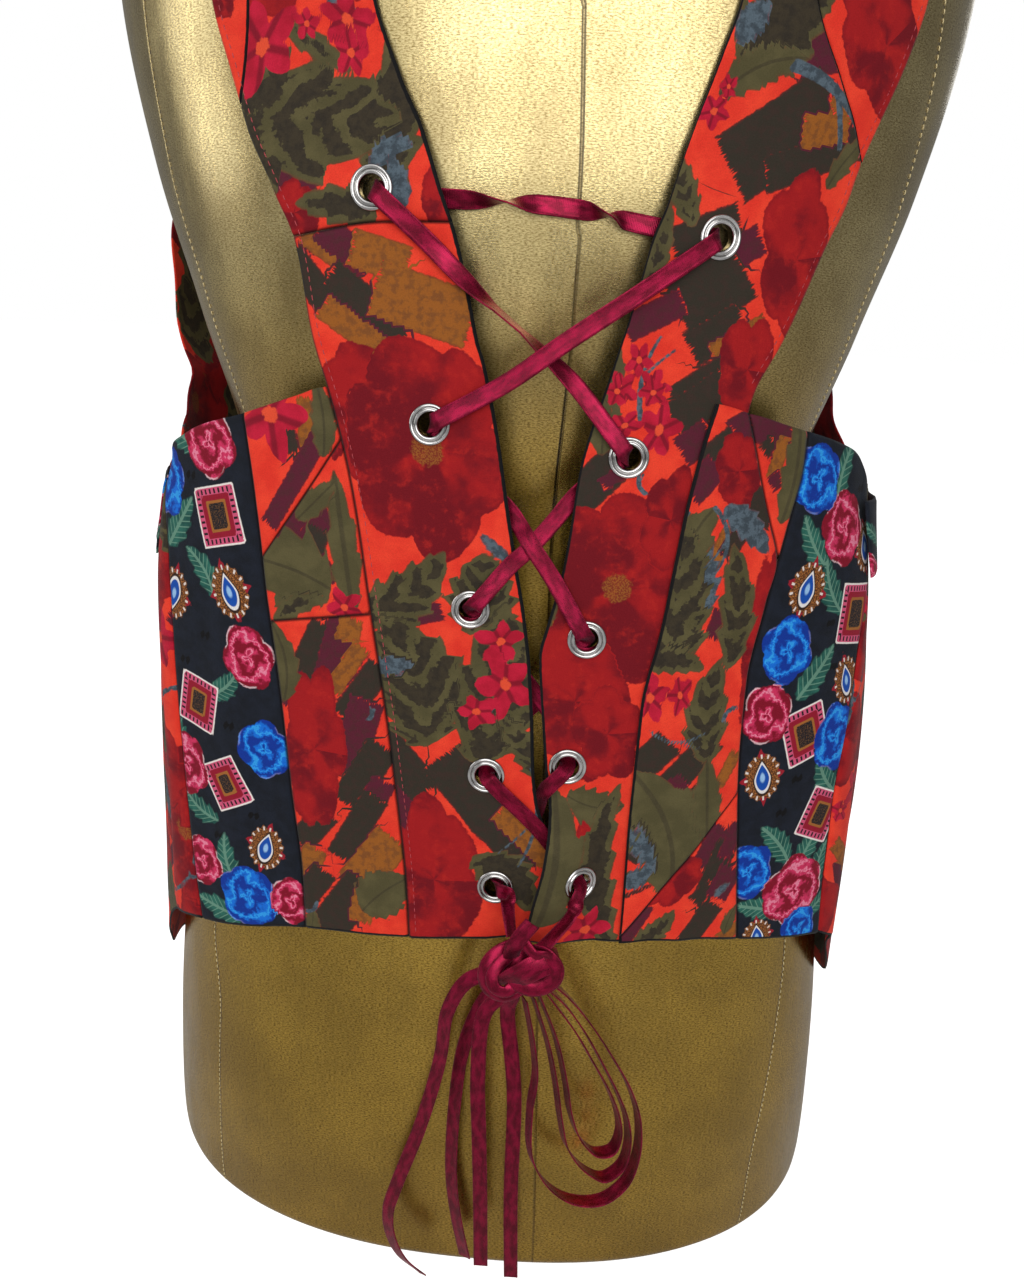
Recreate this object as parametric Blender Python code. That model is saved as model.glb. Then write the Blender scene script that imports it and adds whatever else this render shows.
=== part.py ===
"""Laced patchwork vest standing on a limbless dress form.

The front faces -Y, +X is to the right of someone looking at the front, and +Z is up.
The form's flat base stands on z = 0 with its middle at the origin. Tables are in millimetres
and degrees. A place on the cloth is given by its turn round the body, 0 at the centre front
and positive towards +X, and by its height above the base.
"""

import math
from collections import namedtuple

import bpy
import numpy as np
from mathutils import Matrix, Vector

MM = 0.001

# Driving dimensions, in millimetres
CLOTH = 1.6             # wall of cloth with its lining
GAP = 0.3               # kept between any two pieces
CLEAR = 0.9             # between the form and cloth that lies on it
SEAM_TRIM = 0.22        # taken off each panel at a seam
STACK = CLOTH + GAP + 0.1   # rise of a layer that lies on another
BELT_RISE = STACK + 1.3
BELT_WIDTH = 29.0
RIBBON_WIDTH = 6.0
RIBBON_THICK = 0.9
EYELET_RADIUS = 6.9
EYELET_BORE = 4.0
EYELET_HOLE = 4.9       # hole cut in the cloth
KNOT_CENTRE = (15.0, -131.0, 171.0)
KNOT_RADII = (10.5, 8.0, 14.0)

# Fineness of the meshes
FORM_AROUND = 36
FORM_STEP = 32.0
EYELET_SIDES = 14
CUTTER_SIDES = 14

Section = namedtuple("Section", "height half_width front back power")
FORM = [
    Section(0, 160, 112, 110, 2.35),
    Section(4, 162.5, 114.5, 112.5, 2.35),
    Section(12, 163, 115, 113, 2.35),
    Section(60, 161, 117, 117, 2.35),
    Section(130, 155, 111, 116, 2.35),
    Section(200, 141, 101, 105, 2.35),
    Section(270, 124, 93, 93, 2.35),
    Section(330, 117, 92, 88, 2.3),
    Section(400, 134, 100, 92, 2.35),
    Section(450, 148, 106, 98, 2.35),
    Section(500, 157, 108, 104, 2.35),
    Section(540, 160, 104, 108, 2.35),
    Section(580, 165, 96, 110, 2.35),
    Section(620, 171, 84, 106, 2.3),
    Section(650, 174, 70, 96, 2.25),
    Section(668, 168, 60, 84, 2.2),
    Section(680, 142, 54, 74, 2.15),
    Section(690, 112, 50, 66, 2.1),
    Section(700, 80, 48, 60, 2.05),
    Section(712, 60, 47, 56, 2.0),
    Section(735, 53, 46, 52, 2.0),
    Section(751, 51, 45, 50, 2.0),
    Section(755, 48, 42, 47, 2.0),
]

# Where the cloth hangs free of the form; middle is how far it hangs off centre
Hang = namedtuple("Hang", "height middle half_width front back power")
HANG = [
    Hang(40, -2, 171, 119, 122, 2.5),
    Hang(100, -2, 171, 119, 121.5, 2.5),
    Hang(150, -2.5, 172.5, 118.5, 120.5, 2.5),
    Hang(200, -2, 170.5, 117.5, 118.5, 2.5),
    Hang(250, -2.5, 167.5, 116.5, 116, 2.5),
    Hang(300, -4, 162, 115.5, 114, 2.5),
    Hang(350, -5.5, 152, 114, 113, 2.5),
    Hang(400, -8, 147, 112.5, 113, 2.5),
    Hang(450, -8, 148, 111, 113, 2.45),
    Hang(500, -4, 158, 111, 113, 2.4),
    Hang(560, 0, 166, 108, 113, 2.4),
    Hang(600, 0, 170, 100, 111, 2.4),
    Hang(755, 0, 60, 60, 60, 2.4),
]

# How far the sides are pulled in: where each pull starts, how deep it is, and its depth behind
Pull = namedtuple("Pull", "height left_from left_in left_back right_from right_in right_back")
PULL_SPAN = 16.0
PULLS = [
    Pull(40, 40, 6, 6, 52, 6, 6),
    Pull(90, 40, 10, 8, 52, 9, 8),
    Pull(130, 40, 15, 9, 52, 11, 8),
    Pull(165, 41, 16.5, 9, 52, 11.5, 7),
    Pull(210, 42, 15, 9, 52, 9.5, 7),
    Pull(260, 44, 14.5, 9, 53, 8.5, 7),
    Pull(300, 46, 15, 9, 56, 8, 6),
    Pull(330, 46.5, 16, 7, 59, 7.5, 5),
    Pull(348, 44, 16, 4, 61, 7, 4),
    Pull(365, 48, 10, 0, 62, 5, 3),
    Pull(385, 52, 3, -4, 62, 2, 1),
    Pull(410, 52, 0, -10, 62, 0, 0),
    Pull(432, 52, 0, -13, 62, 0, 0),
    Pull(470, 52, 0, -7, 62, 0, 0),
    Pull(500, 52, 0, 0, 62, 0, 0),
]

# Seams and edges that run upwards
Mark = namedtuple("Mark", "height turn")
LEFT_INNER = [
    Mark(176, 6.6), Mark(210, 6.3), Mark(223, 5.0), Mark(233, 4.2), Mark(246, 3.8), Mark(266, 3.6),
    Mark(288, 3.3), Mark(306, 2.8), Mark(324, 2.1), Mark(345, 1.4), Mark(380, 0.4), Mark(411, -0.8),
    Mark(429, -2.0), Mark(442, -3.7), Mark(457, -6.3), Mark(472, -9.8), Mark(492, -12.9),
    Mark(540, -15.5), Mark(600, -17.3), Mark(650, -19.0), Mark(668, -21.0), Mark(680, -26.5),
    Mark(690, -35.6), Mark(700, -57.8), Mark(705.5, -89.8),
]
LEFT_OUTER = [
    Mark(171, -5.4), Mark(204, -6.2), Mark(229, -7.0), Mark(269, -8.5), Mark(302, -10.0),
    Mark(348, -12.9), Mark(377, -15.6), Mark(393, -17.5), Mark(425, -20.3), Mark(439, -23.4),
    Mark(457, -28.6), Mark(475, -32.5), Mark(494, -35.4), Mark(540, -37.1), Mark(600, -37.4),
    Mark(650, -39.8), Mark(668, -43.7), Mark(680, -58.1), Mark(685, -75.0), Mark(686.3, -89.8),
]
LEFT_NAVY = [
    Mark(169, -18.2), Mark(198, -19.0), Mark(223, -20.2), Mark(256, -21.6), Mark(287, -23.1),
    Mark(316, -25.0), Mark(337, -26.8), Mark(368, -29.4),
]
LEFT_SIDE = [
    Mark(159, -37.1), Mark(210, -40.6), Mark(261, -42.7), Mark(309, -45.3), Mark(338, -50.3),
    Mark(349, -52.0),
]
RIGHT_INNER = [
    Mark(176, 3.4), Mark(191, 4.0), Mark(212, 5.0), Mark(226, 5.3), Mark(238, 5.15), Mark(246, 4.8),
    Mark(265, 4.4), Mark(290, 4.1), Mark(303, 4.9), Mark(318, 6.1), Mark(335, 7.1), Mark(356, 8.2),
    Mark(369, 9.5), Mark(385, 11.6), Mark(401, 13.4), Mark(416, 14.8), Mark(429, 16.0),
    Mark(440, 17.5), Mark(455, 18.4), Mark(469, 18.8), Mark(483, 19.5), Mark(496, 20.6),
    Mark(540, 22.3), Mark(600, 23.2), Mark(650, 23.9), Mark(668, 25.5), Mark(680, 31.7),
    Mark(690, 43.1), Mark(697, 62.0), Mark(700.7, 89.8),
]
RIGHT_OUTER = [
    Mark(176, 18.0), Mark(219, 18.0), Mark(247, 18.5), Mark(275, 19.5), Mark(297, 21.5),
    Mark(326, 24.0), Mark(354, 27.0), Mark(367, 30.0), Mark(382, 32.3), Mark(398, 36.8),
    Mark(413, 40.3), Mark(429, 43.6), Mark(445, 46.6), Mark(458, 47.3), Mark(472, 47.8),
    Mark(487, 48.6), Mark(504, 49.7), Mark(540, 50.3), Mark(600, 47.7), Mark(650, 46.6),
    Mark(668, 50.1), Mark(677, 60.6), Mark(682, 74.0), Mark(683.6, 89.8),
]
RIGHT_FREE = [
    Mark(176, 13.8), Mark(218, 13.9), Mark(247, 14.3), Mark(275, 15.0), Mark(297, 16.9),
    Mark(326, 19.3), Mark(354, 22.0), Mark(367, 23.7), Mark(379, 25.6),
]
RIGHT_DART = [
    Mark(238, 29.1), Mark(250, 29.0), Mark(281, 29.9), Mark(311, 33.4), Mark(326, 35.8),
    Mark(340, 34.6), Mark(358, 32.6), Mark(376, 30.9),
]
RIGHT_NAVY = [
    Mark(173, 31.3), Mark(212, 29.8), Mark(250, 29.0), Mark(281, 29.9), Mark(311, 33.5),
    Mark(336, 38.0), Mark(356, 41.7), Mark(369.6, 43.2),
]
RIGHT_SIDE = [
    Mark(165, 49.8), Mark(190, 49.2), Mark(225, 49.6), Mark(258, 52.6), Mark(286, 55.5),
    Mark(308, 60.2), Mark(330, 63.5), Mark(348, 65.0),
]

# Edges that run round the body
Rim = namedtuple("Rim", "turn height")
HEM = [
    Rim(-312, 166), Rim(-298, 148), Rim(-285, 118), Rim(-272, 95), Rim(-258, 82), Rim(-240, 78),
    Rim(-180, 74), Rim(-130, 70), Rim(-100, 68), Rim(-88, 80), Rim(-75, 108), Rim(-60, 140),
    Rim(-50, 152), Rim(-44, 156), Rim(-37.1, 159), Rim(-29.5, 162), Rim(-18.2, 169),
    Rim(-6, 172), Rim(0, 175), Rim(4, 178), Rim(7, 178), Rim(14, 176), Rim(18, 177),
    Rim(31.3, 173.5), Rim(40, 170), Rim(50, 165.5),
]
TOP_EDGE = [
    Rim(-52, 349), Rim(-44, 356), Rim(-39, 361), Rim(-29.4, 367.3), Rim(-20, 375), Rim(-15.6, 378.5),
    Rim(25.6, 379), Rim(31.9, 376.3), Rim(42, 370.1), Rim(50, 366), Rim(59.3, 359.4), Rim(65, 348),
]
ARMHOLE_LEFT = [
    Rim(-52, 349), Rim(-65, 342), Rim(-78, 339), Rim(-90, 352), Rim(-98, 385), Rim(-103, 431),
    Rim(-112, 470), Rim(-122, 520), Rim(-130, 570), Rim(-134, 610), Rim(-132, 645),
    Rim(-125, 671), Rim(-114, 680.5), Rim(-90.2, 686.3),
]
ARMHOLE_RIGHT = [
    Rim(-295, 348), Rim(-285, 342), Rim(-277, 341), Rim(-267, 354), Rim(-256, 385),
    Rim(-248, 431), Rim(-240, 470), Rim(-234, 520), Rim(-228, 570), Rim(-226, 610),
    Rim(-230, 645), Rim(-240, 670), Rim(-252, 679), Rim(-269.8, 683.6),
]
NECKLINE = [
    Rim(-269.8, 683.6), Rim(-269.8, 692), Rim(-269.6, 700.7), Rim(-246, 701), Rim(-222, 698),
    Rim(-180, 696), Rim(-138, 699), Rim(-114, 704), Rim(-90.4, 705.5), Rim(-90.2, 696),
    Rim(-90.2, 686.3),
]

# Seams that cross a band or a front, from the lower turn to the higher
LEFT_CROSS = [(-20.3, 425), (-8.8, 430.3), (-2.2, 431)]
LEFT_DIAGONAL = [(-30.3, 464), (-29.2, 494), (-18.85, 645)]
LEFT_LOW_PIECING = [(-23.5, 294.3), (-10.0, 301.3)]
LEFT_HIGH_PIECING = [(-25.1, 317.5), (-14.2, 361.7)]
RIGHT_DIAGONAL = [(22.7, 565), (30.2, 498.5), (47.3, 456)]
RIGHT_LOW_PIECING = [(13.8, 178.5), (20.2, 205.6), (29.1, 238)]

# Folds pressed into the cloth; rise is outwards
Fold = namedtuple("Fold", "turn height across along rise")
BACK_FOLDS = [
    Fold(-112, 369, 26, 8, -5.0),
    Fold(-106, 392, 24, 12, 2.5),
    Fold(-250, 362, 22, 8, -3.5),
    Fold(-150, 250, 9, 70, 2.5),
    Fold(-208, 240, 9, 80, 2.5),
    Fold(-98, 76, 11, 20, 9.0),
]

Eyelet = namedtuple("Eyelet", "name turn height")
LEFT_EYELETS = [
    Eyelet("eyelet_left_1", -10.5, 439.9), Eyelet("eyelet_left_2", -4.0, 368.4),
    Eyelet("eyelet_left_3", -0.7, 306.0), Eyelet("eyelet_left_4", 0.2, 243.4),
    Eyelet("eyelet_left_5", 1.0, 197.3),
]
RIGHT_EYELETS = [
    Eyelet("eyelet_right_1", 24.8, 430.2), Eyelet("eyelet_right_2", 13.8, 360.7),
    Eyelet("eyelet_right_3", 8.8, 297.3), Eyelet("eyelet_right_4", 7.0, 248.8),
    Eyelet("eyelet_right_5", 8.6, 203.6),
]

# Colour, roughness and metallic value of each material
Look = namedtuple("Look", "colour roughness metallic")
LOOKS = {
    "gold": Look((0.33, 0.24, 0.085), 0.38, 0.85),
    "scarlet_print": Look((0.62, 0.04, 0.02), 0.75, 0.0),
    "navy_print": Look((0.012, 0.018, 0.03), 0.75, 0.0),
    "satin": Look((0.28, 0.012, 0.05), 0.35, 0.0),
    "steel": Look((0.72, 0.71, 0.69), 0.22, 1.0),
}


def smooth(table, place):
    """Row values at a place, on monotone cubics through a table whose first column rises."""
    rows = np.asarray(table, float)
    x, y = rows[:, 0], rows[:, 1:]
    run = np.diff(x)[:, None]
    rate = np.diff(y, axis=0) / run
    before, after = rate[:-1], rate[1:]
    w1, w2 = 2 * run[1:] + run[:-1], run[1:] + 2 * run[:-1]
    same = before * after > 0
    safe_before, safe_after = np.where(same, before, 1.0), np.where(same, after, 1.0)
    slope = np.empty_like(y)
    slope[0], slope[-1] = rate[0], rate[-1]
    slope[1:-1] = np.where(same, (w1 + w2) / (w1 / safe_before + w2 / safe_after), 0.0)
    place = np.clip(np.asarray(place, float), x[0], x[-1])
    i = np.clip(np.searchsorted(x, place, side="right") - 1, 0, len(x) - 2)
    h = (x[i + 1] - x[i])[..., None]
    t = (place - x[i])[..., None] / h
    rise = 3 * t**2 - 2 * t**3
    return ((1 - rise) * y[i] + rise * y[i + 1]
            + h * ((t**3 - 2 * t**2 + t) * slope[i] + (t**3 - t**2) * slope[i + 1]))


def ease(low, high, value):
    """0 below low, 1 above high, and a smooth step between."""
    t = np.clip((value - low) / (high - low), 0.0, 1.0)
    return t * t * (3 - 2 * t)


def unit(vectors):
    return vectors / np.linalg.norm(vectors, axis=-1, keepdims=True)


def oval(middle, half_width, front, back, power, turn):
    """A point on a rounded section, at a turn in degrees from the centre front."""
    s, c = np.sin(np.radians(turn)), np.cos(np.radians(turn))
    depth = np.where(c > 0, front, back)
    x = middle + half_width * np.sign(s) * np.abs(s) ** (2 / power)
    y = -depth * np.sign(c) * np.abs(c) ** (2 / power)
    return x, y


def form_point(turn, height):
    row = np.moveaxis(smooth(FORM, height), -1, 0)
    x, y = oval(0.0, *row, turn)
    return np.stack([x, y, height + 0 * x], -1)


def hang_point(turn, height):
    """Free-hanging cloth, pulled in at its sides, pushed out where the form is in its way."""
    turn, height = np.broadcast_arrays(np.asarray(turn, float), height)
    middle, half_width, front, back, power = np.moveaxis(smooth(HANG, height), -1, 0)
    pull = np.moveaxis(smooth(PULLS, height), -1, 0)
    bearing = (turn + 180) % 360 - 180
    start, deep, behind = np.where(bearing < 0, pull[:3], pull[3:])
    away = np.abs(bearing)
    deep = deep + (behind - deep) * ease(74, 100, away)
    deep = deep * ease(0, PULL_SPAN, away - start)
    x, y = oval(middle, half_width - deep, front, back, power, turn)
    half_width, front, back, power = np.moveaxis(smooth(FORM, height), -1, 0)
    need = CLEAR + 0.6
    deep = np.where(y < 0, front, back) + need
    reach = (np.abs(x / (half_width + need)) ** power + np.abs(y / deep) ** power) ** (1 / power)
    sharp = 60.0
    push = 1 + np.logaddexp(0.0, (1 - reach) * sharp) / sharp
    return np.stack([x * push, y * push, height + 0 * x], -1)


def outward(surface, turn, height):
    """The surface's outward normal, by small steps each way."""
    along = surface(turn + 0.05, height) - surface(turn - 0.05, height)
    upward = surface(turn, height + 0.5) - surface(turn, height - 0.5)
    return unit(np.cross(along, upward))


def bare_cloth(turn, height):
    """The cloth's inner face: it lies on the form up high and hangs free below."""
    start = 475 - 45 * np.cos(np.radians(turn))
    lying = ease(start, start + 60, height)[..., None]
    behind = ease(0.0, 1.0, -np.cos(np.radians(turn)))
    clear = CLEAR + behind * (1.0 + 5.2 * ease(570, 650, height)) + 1.4 * ease(630, 690, height)
    on_form = form_point(turn, height) + clear[..., None] * outward(form_point, turn, height)
    return (1 - lying) * hang_point(turn, height) + lying * on_form


def cloth(turn, height, rise=0.0):
    """A point above the cloth's inner face, by a rise in millimetres."""
    turn, height, rise = np.broadcast_arrays(np.asarray(turn, float), height, rise)
    point = bare_cloth(turn, height)
    return point + rise[..., None] * outward(bare_cloth, turn, height)


def flat_rise(turn, height):
    return 0 * turn


def right_front_rise(turn, height):
    """The right front lies on the right band, and comes down beside it."""
    past = turn - smooth(RIGHT_FREE, height)[..., 0]
    return STACK * (1 - ease(7.0, 13.0, past))


def right_band_rise(turn, height):
    """Near the hem the right band's inner edge stands off, and slopes back past an eyelet."""
    low = 1 - ease(213, 238, height)
    end = 0.45 + 0.55 * ease(172, 195, height)
    slope, top, sharp = 9.4 * (10.9 - turn) / 4.6, 9.4, 3.0
    slope = np.logaddexp(0.0, slope * sharp) / sharp
    slope = top - np.logaddexp(0.0, (top - slope) * sharp) / sharp
    turned_in = 2.4 * ease(0.0, 2.6, 6.3 - turn)
    return low * end * (slope - turned_in)


def back_rise(turn, height):
    total = 0 * turn
    for fold in BACK_FOLDS:
        across = (turn - fold.turn) / fold.across
        along = (height - fold.height) / fold.along
        total = total + fold.rise * np.exp(-across**2 - along**2)
    return total


def seam(table, low, high):
    """A boundary that follows a seam from one height to another."""
    def at(t):
        height = low + (high - low) * t
        return np.stack([smooth(table, height)[..., 0], height], -1)
    return at


def shifted(table, turn):
    """A seam table moved round the body."""
    return [Mark(mark.height, mark.turn + turn) for mark in table]


def rim(table, first, last):
    """A boundary that follows an edge round the body from one turn to another."""
    def at(t):
        turn = first + (last - first) * t
        return np.stack([turn, smooth(table, turn)[..., 0]], -1)
    return at


def through(points, even=False):
    """A boundary through listed places; even gives each stretch the same share of it."""
    rows = np.asarray(points, float)
    scale = np.array([2.6, 1.0])
    steps = np.linalg.norm(np.diff(rows * scale, axis=0), axis=1)
    steps = np.ones_like(steps) if even else steps
    place = np.concatenate([[0.0], np.cumsum(steps)]) / steps.sum()

    def at(t):
        return smooth(np.column_stack([place, rows]), t)
    return at


def joined(first, second, share):
    """One boundary after another; share is where the second starts."""
    def at(t):
        a = first(np.clip(t / share, 0, 1))
        b = second(np.clip((t - share) / (1 - share), 0, 1))
        return np.where((t < share)[..., None], a, b)
    return at


def patch(left, right, bottom, top, columns, rows):
    """Places filling four boundaries, as a grid of turn and height."""
    u, v = np.meshgrid(columns, rows)
    u, v = u[..., None], v[..., None]
    lo, hi = bottom(columns)[None], top(columns)[None]
    le, ri = left(rows)[:, None], right(rows)[:, None]
    corners = ((1 - u) * (1 - v) * lo[:, :1] + u * (1 - v) * lo[:, -1:]
               + (1 - u) * v * hi[:, :1] + u * v * hi[:, -1:])
    grid = (1 - v) * lo + v * hi + (1 - u) * le + u * ri - corners
    return grid[..., 0], grid[..., 1]


def trimmed(points):
    """A grid of points with each edge drawn in from its seam."""
    for axis in (0, 1):
        p = np.swapaxes(points, 0, axis)
        for edge, inside in ((0, 1), (-1, -2)):
            along = unit(np.gradient(p[edge], axis=0))
            inward = p[inside] - p[edge]
            inward = inward - along * np.sum(inward * along, axis=1, keepdims=True)
            p[edge] += unit(inward) * SEAM_TRIM
    return points


def add_object(name, points, faces, look, shade=True):
    mesh = bpy.data.meshes.new(name)
    mesh.from_pydata([tuple(p) for p in np.asarray(points) * MM], [], faces)
    mesh.validate()
    if shade:
        mesh.shade_smooth()
        mesh.set_sharp_from_angle(angle=math.radians(50))
    mesh.materials.append(material(look))
    made = bpy.data.objects.new(name, mesh)
    bpy.context.collection.objects.link(made)
    return made


def material(name):
    if name in bpy.data.materials:
        return bpy.data.materials[name]
    look = LOOKS[name]
    made = bpy.data.materials.new(name)
    made.use_nodes = True
    shader = made.node_tree.nodes["Principled BSDF"]
    shader.inputs["Base Color"].default_value = (*look.colour, 1.0)
    shader.inputs["Roughness"].default_value = look.roughness
    shader.inputs["Metallic"].default_value = look.metallic
    return made


def wall(name, inner, outer, look):
    """A closed wall of cloth between two grids of points."""
    rows, columns = inner.shape[:2]
    count = rows * columns

    def at(i, j, side):
        return side * count + i * columns + j

    faces = []
    for i in range(rows - 1):
        for j in range(columns - 1):
            ring = [(i, j), (i, j + 1), (i + 1, j + 1), (i + 1, j)]
            faces.append([at(a, b, 1) for a, b in ring])
            faces.append([at(a, b, 0) for a, b in reversed(ring)])
    border = ([(0, j) for j in range(columns)] + [(i, columns - 1) for i in range(1, rows)]
              + [(rows - 1, j) for j in range(columns - 2, -1, -1)]
              + [(i, 0) for i in range(rows - 2, 0, -1)])
    for a, b in zip(border, border[1:] + border[:1]):
        faces.append([at(*a, 0), at(*b, 0), at(*b, 1), at(*a, 1)])
    points = np.concatenate([inner.reshape(-1, 3), outer.reshape(-1, 3)])
    return add_object(name, points, faces, look)


def panel(name, edges, columns, rows, look, rise=flat_rise, lift=0.0, thick=CLOTH):
    """A cut piece of cloth within four boundaries: left, right, bottom and top."""
    if np.ndim(columns) == 0:
        columns = np.linspace(0, 1, columns)
    if np.ndim(rows) == 0:
        rows = np.linspace(0, 1, rows)
    turn, height = patch(*edges, columns, rows)
    base = lift + rise(turn, height)
    inner = trimmed(cloth(turn, height, base))
    step, climb = 0.05, 0.5

    def raised(a, b):
        return cloth(a, b, lift + rise(a, b))

    along = raised(turn + step, height) - raised(turn - step, height)
    upward = raised(turn, height + climb) - raised(turn, height - climb)
    facing = unit(np.cross(along, upward))
    return wall(name, inner, inner + thick * facing, look)


def eyelet_seat(eyelet, rise):
    """Centre of an eyelet, in the middle of the cloth, and the way that it faces."""
    turn, height = np.array(eyelet.turn), np.array(eyelet.height)

    def raised(a, b):
        return cloth(a, b, CLOTH / 2 + rise(a, b))

    reach_turn, reach_height = 1.2, 5.0
    along = raised(turn + reach_turn, height) - raised(turn - reach_turn, height)
    upward = raised(turn, height + reach_height) - raised(turn, height - reach_height)
    ends = [raised(turn + a, height + b) for a, b in
            ((reach_turn, 0), (-reach_turn, 0), (0, reach_height), (0, -reach_height))]
    centre = (raised(turn, height) + np.mean(ends, axis=0)) / 2
    return centre, unit(np.cross(along, upward))


def placed(centre, facing):
    """Matrix that stands a turned piece on a place of the cloth."""
    spin = Vector(facing).to_track_quat("Z", "Y").to_matrix().to_4x4()
    return Matrix.Translation(Vector(centre) * MM) @ spin


def turned(name, profile, sides, look):
    """A ring turned round its own Z axis; the profile runs round its section."""
    count = len(profile)
    points = []
    for k in range(sides):
        angle = 2 * math.pi * k / sides
        points += [(r * math.cos(angle), r * math.sin(angle), z) for r, z in profile]
    faces = []
    for k in range(sides):
        a, b = k * count, (k + 1) % sides * count
        for i in range(count):
            j = (i + 1) % count
            faces.append([a + i, b + i, b + j, a + j])
    return add_object(name, points, faces, look)


def make_eyelet(eyelet, rise):
    """A flanged ring clenched through the cloth."""
    half = CLOTH / 2
    face, back = half + GAP, -half - GAP - 0.3
    barrel = EYELET_HOLE - GAP
    profile = [
        (EYELET_BORE, back - 0.7), (EYELET_BORE + 2.3, back - 0.7), (EYELET_BORE + 2.3, back),
        (barrel, back), (barrel, face), (EYELET_RADIUS, face), (EYELET_RADIUS - 0.7, face + 0.9),
        (EYELET_BORE + 0.9, face + 1.1), (EYELET_BORE, face + 0.2),
    ]
    ring = turned(eyelet.name, profile, EYELET_SIDES, "steel")
    ring.matrix_world = placed(*eyelet_seat(eyelet, rise))
    return ring


def cut_eyelet_holes(cloth_piece, eyelets, rise):
    """Round holes through a band for its eyelets."""
    for eyelet in eyelets:
        ring = [(EYELET_HOLE * math.cos(a), EYELET_HOLE * math.sin(a))
                for a in np.arange(CUTTER_SIDES) * 2 * math.pi / CUTTER_SIDES]
        points = [(x, y, z) for z in (-6.0, 6.0) for x, y in ring]
        n = CUTTER_SIDES
        faces = [list(range(n))[::-1], list(range(n, 2 * n))]
        faces += [[k, (k + 1) % n, n + (k + 1) % n, n + k] for k in range(n)]
        cutter = add_object("cut_" + eyelet.name, points, faces, "steel", shade=False)
        cutter.matrix_world = placed(*eyelet_seat(eyelet, rise))
        cutter.hide_render = True
        cutter.display_type = "WIRE"
        hole = cloth_piece.modifiers.new("hole_" + eyelet.name, "BOOLEAN")
        hole.operation = "DIFFERENCE"
        hole.object = cutter


def make_form():
    """The solid torso, closed by its flat base and by the top of its neck."""
    heights = [0.0]
    for lower, upper in zip(FORM, FORM[1:]):
        parts = max(1, round((upper.height - lower.height) / FORM_STEP))
        heights += [lower.height + (upper.height - lower.height) * k / parts
                    for k in range(1, parts + 1)]
    turn = np.arange(FORM_AROUND) * 360 / FORM_AROUND + 180 / FORM_AROUND
    grid = form_point(*np.meshgrid(turn, np.array(heights)))
    rows, around = grid.shape[:2]
    faces = []
    for i in range(rows - 1):
        for j in range(around):
            k = (j + 1) % around
            faces.append([i * around + j, i * around + k, (i + 1) * around + k, (i + 1) * around + j])
    faces.append([j for j in range(around)][::-1])
    faces.append([(rows - 1) * around + j for j in range(around)])
    return add_object("form", grid.reshape(-1, 3), faces, "gold")


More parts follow.
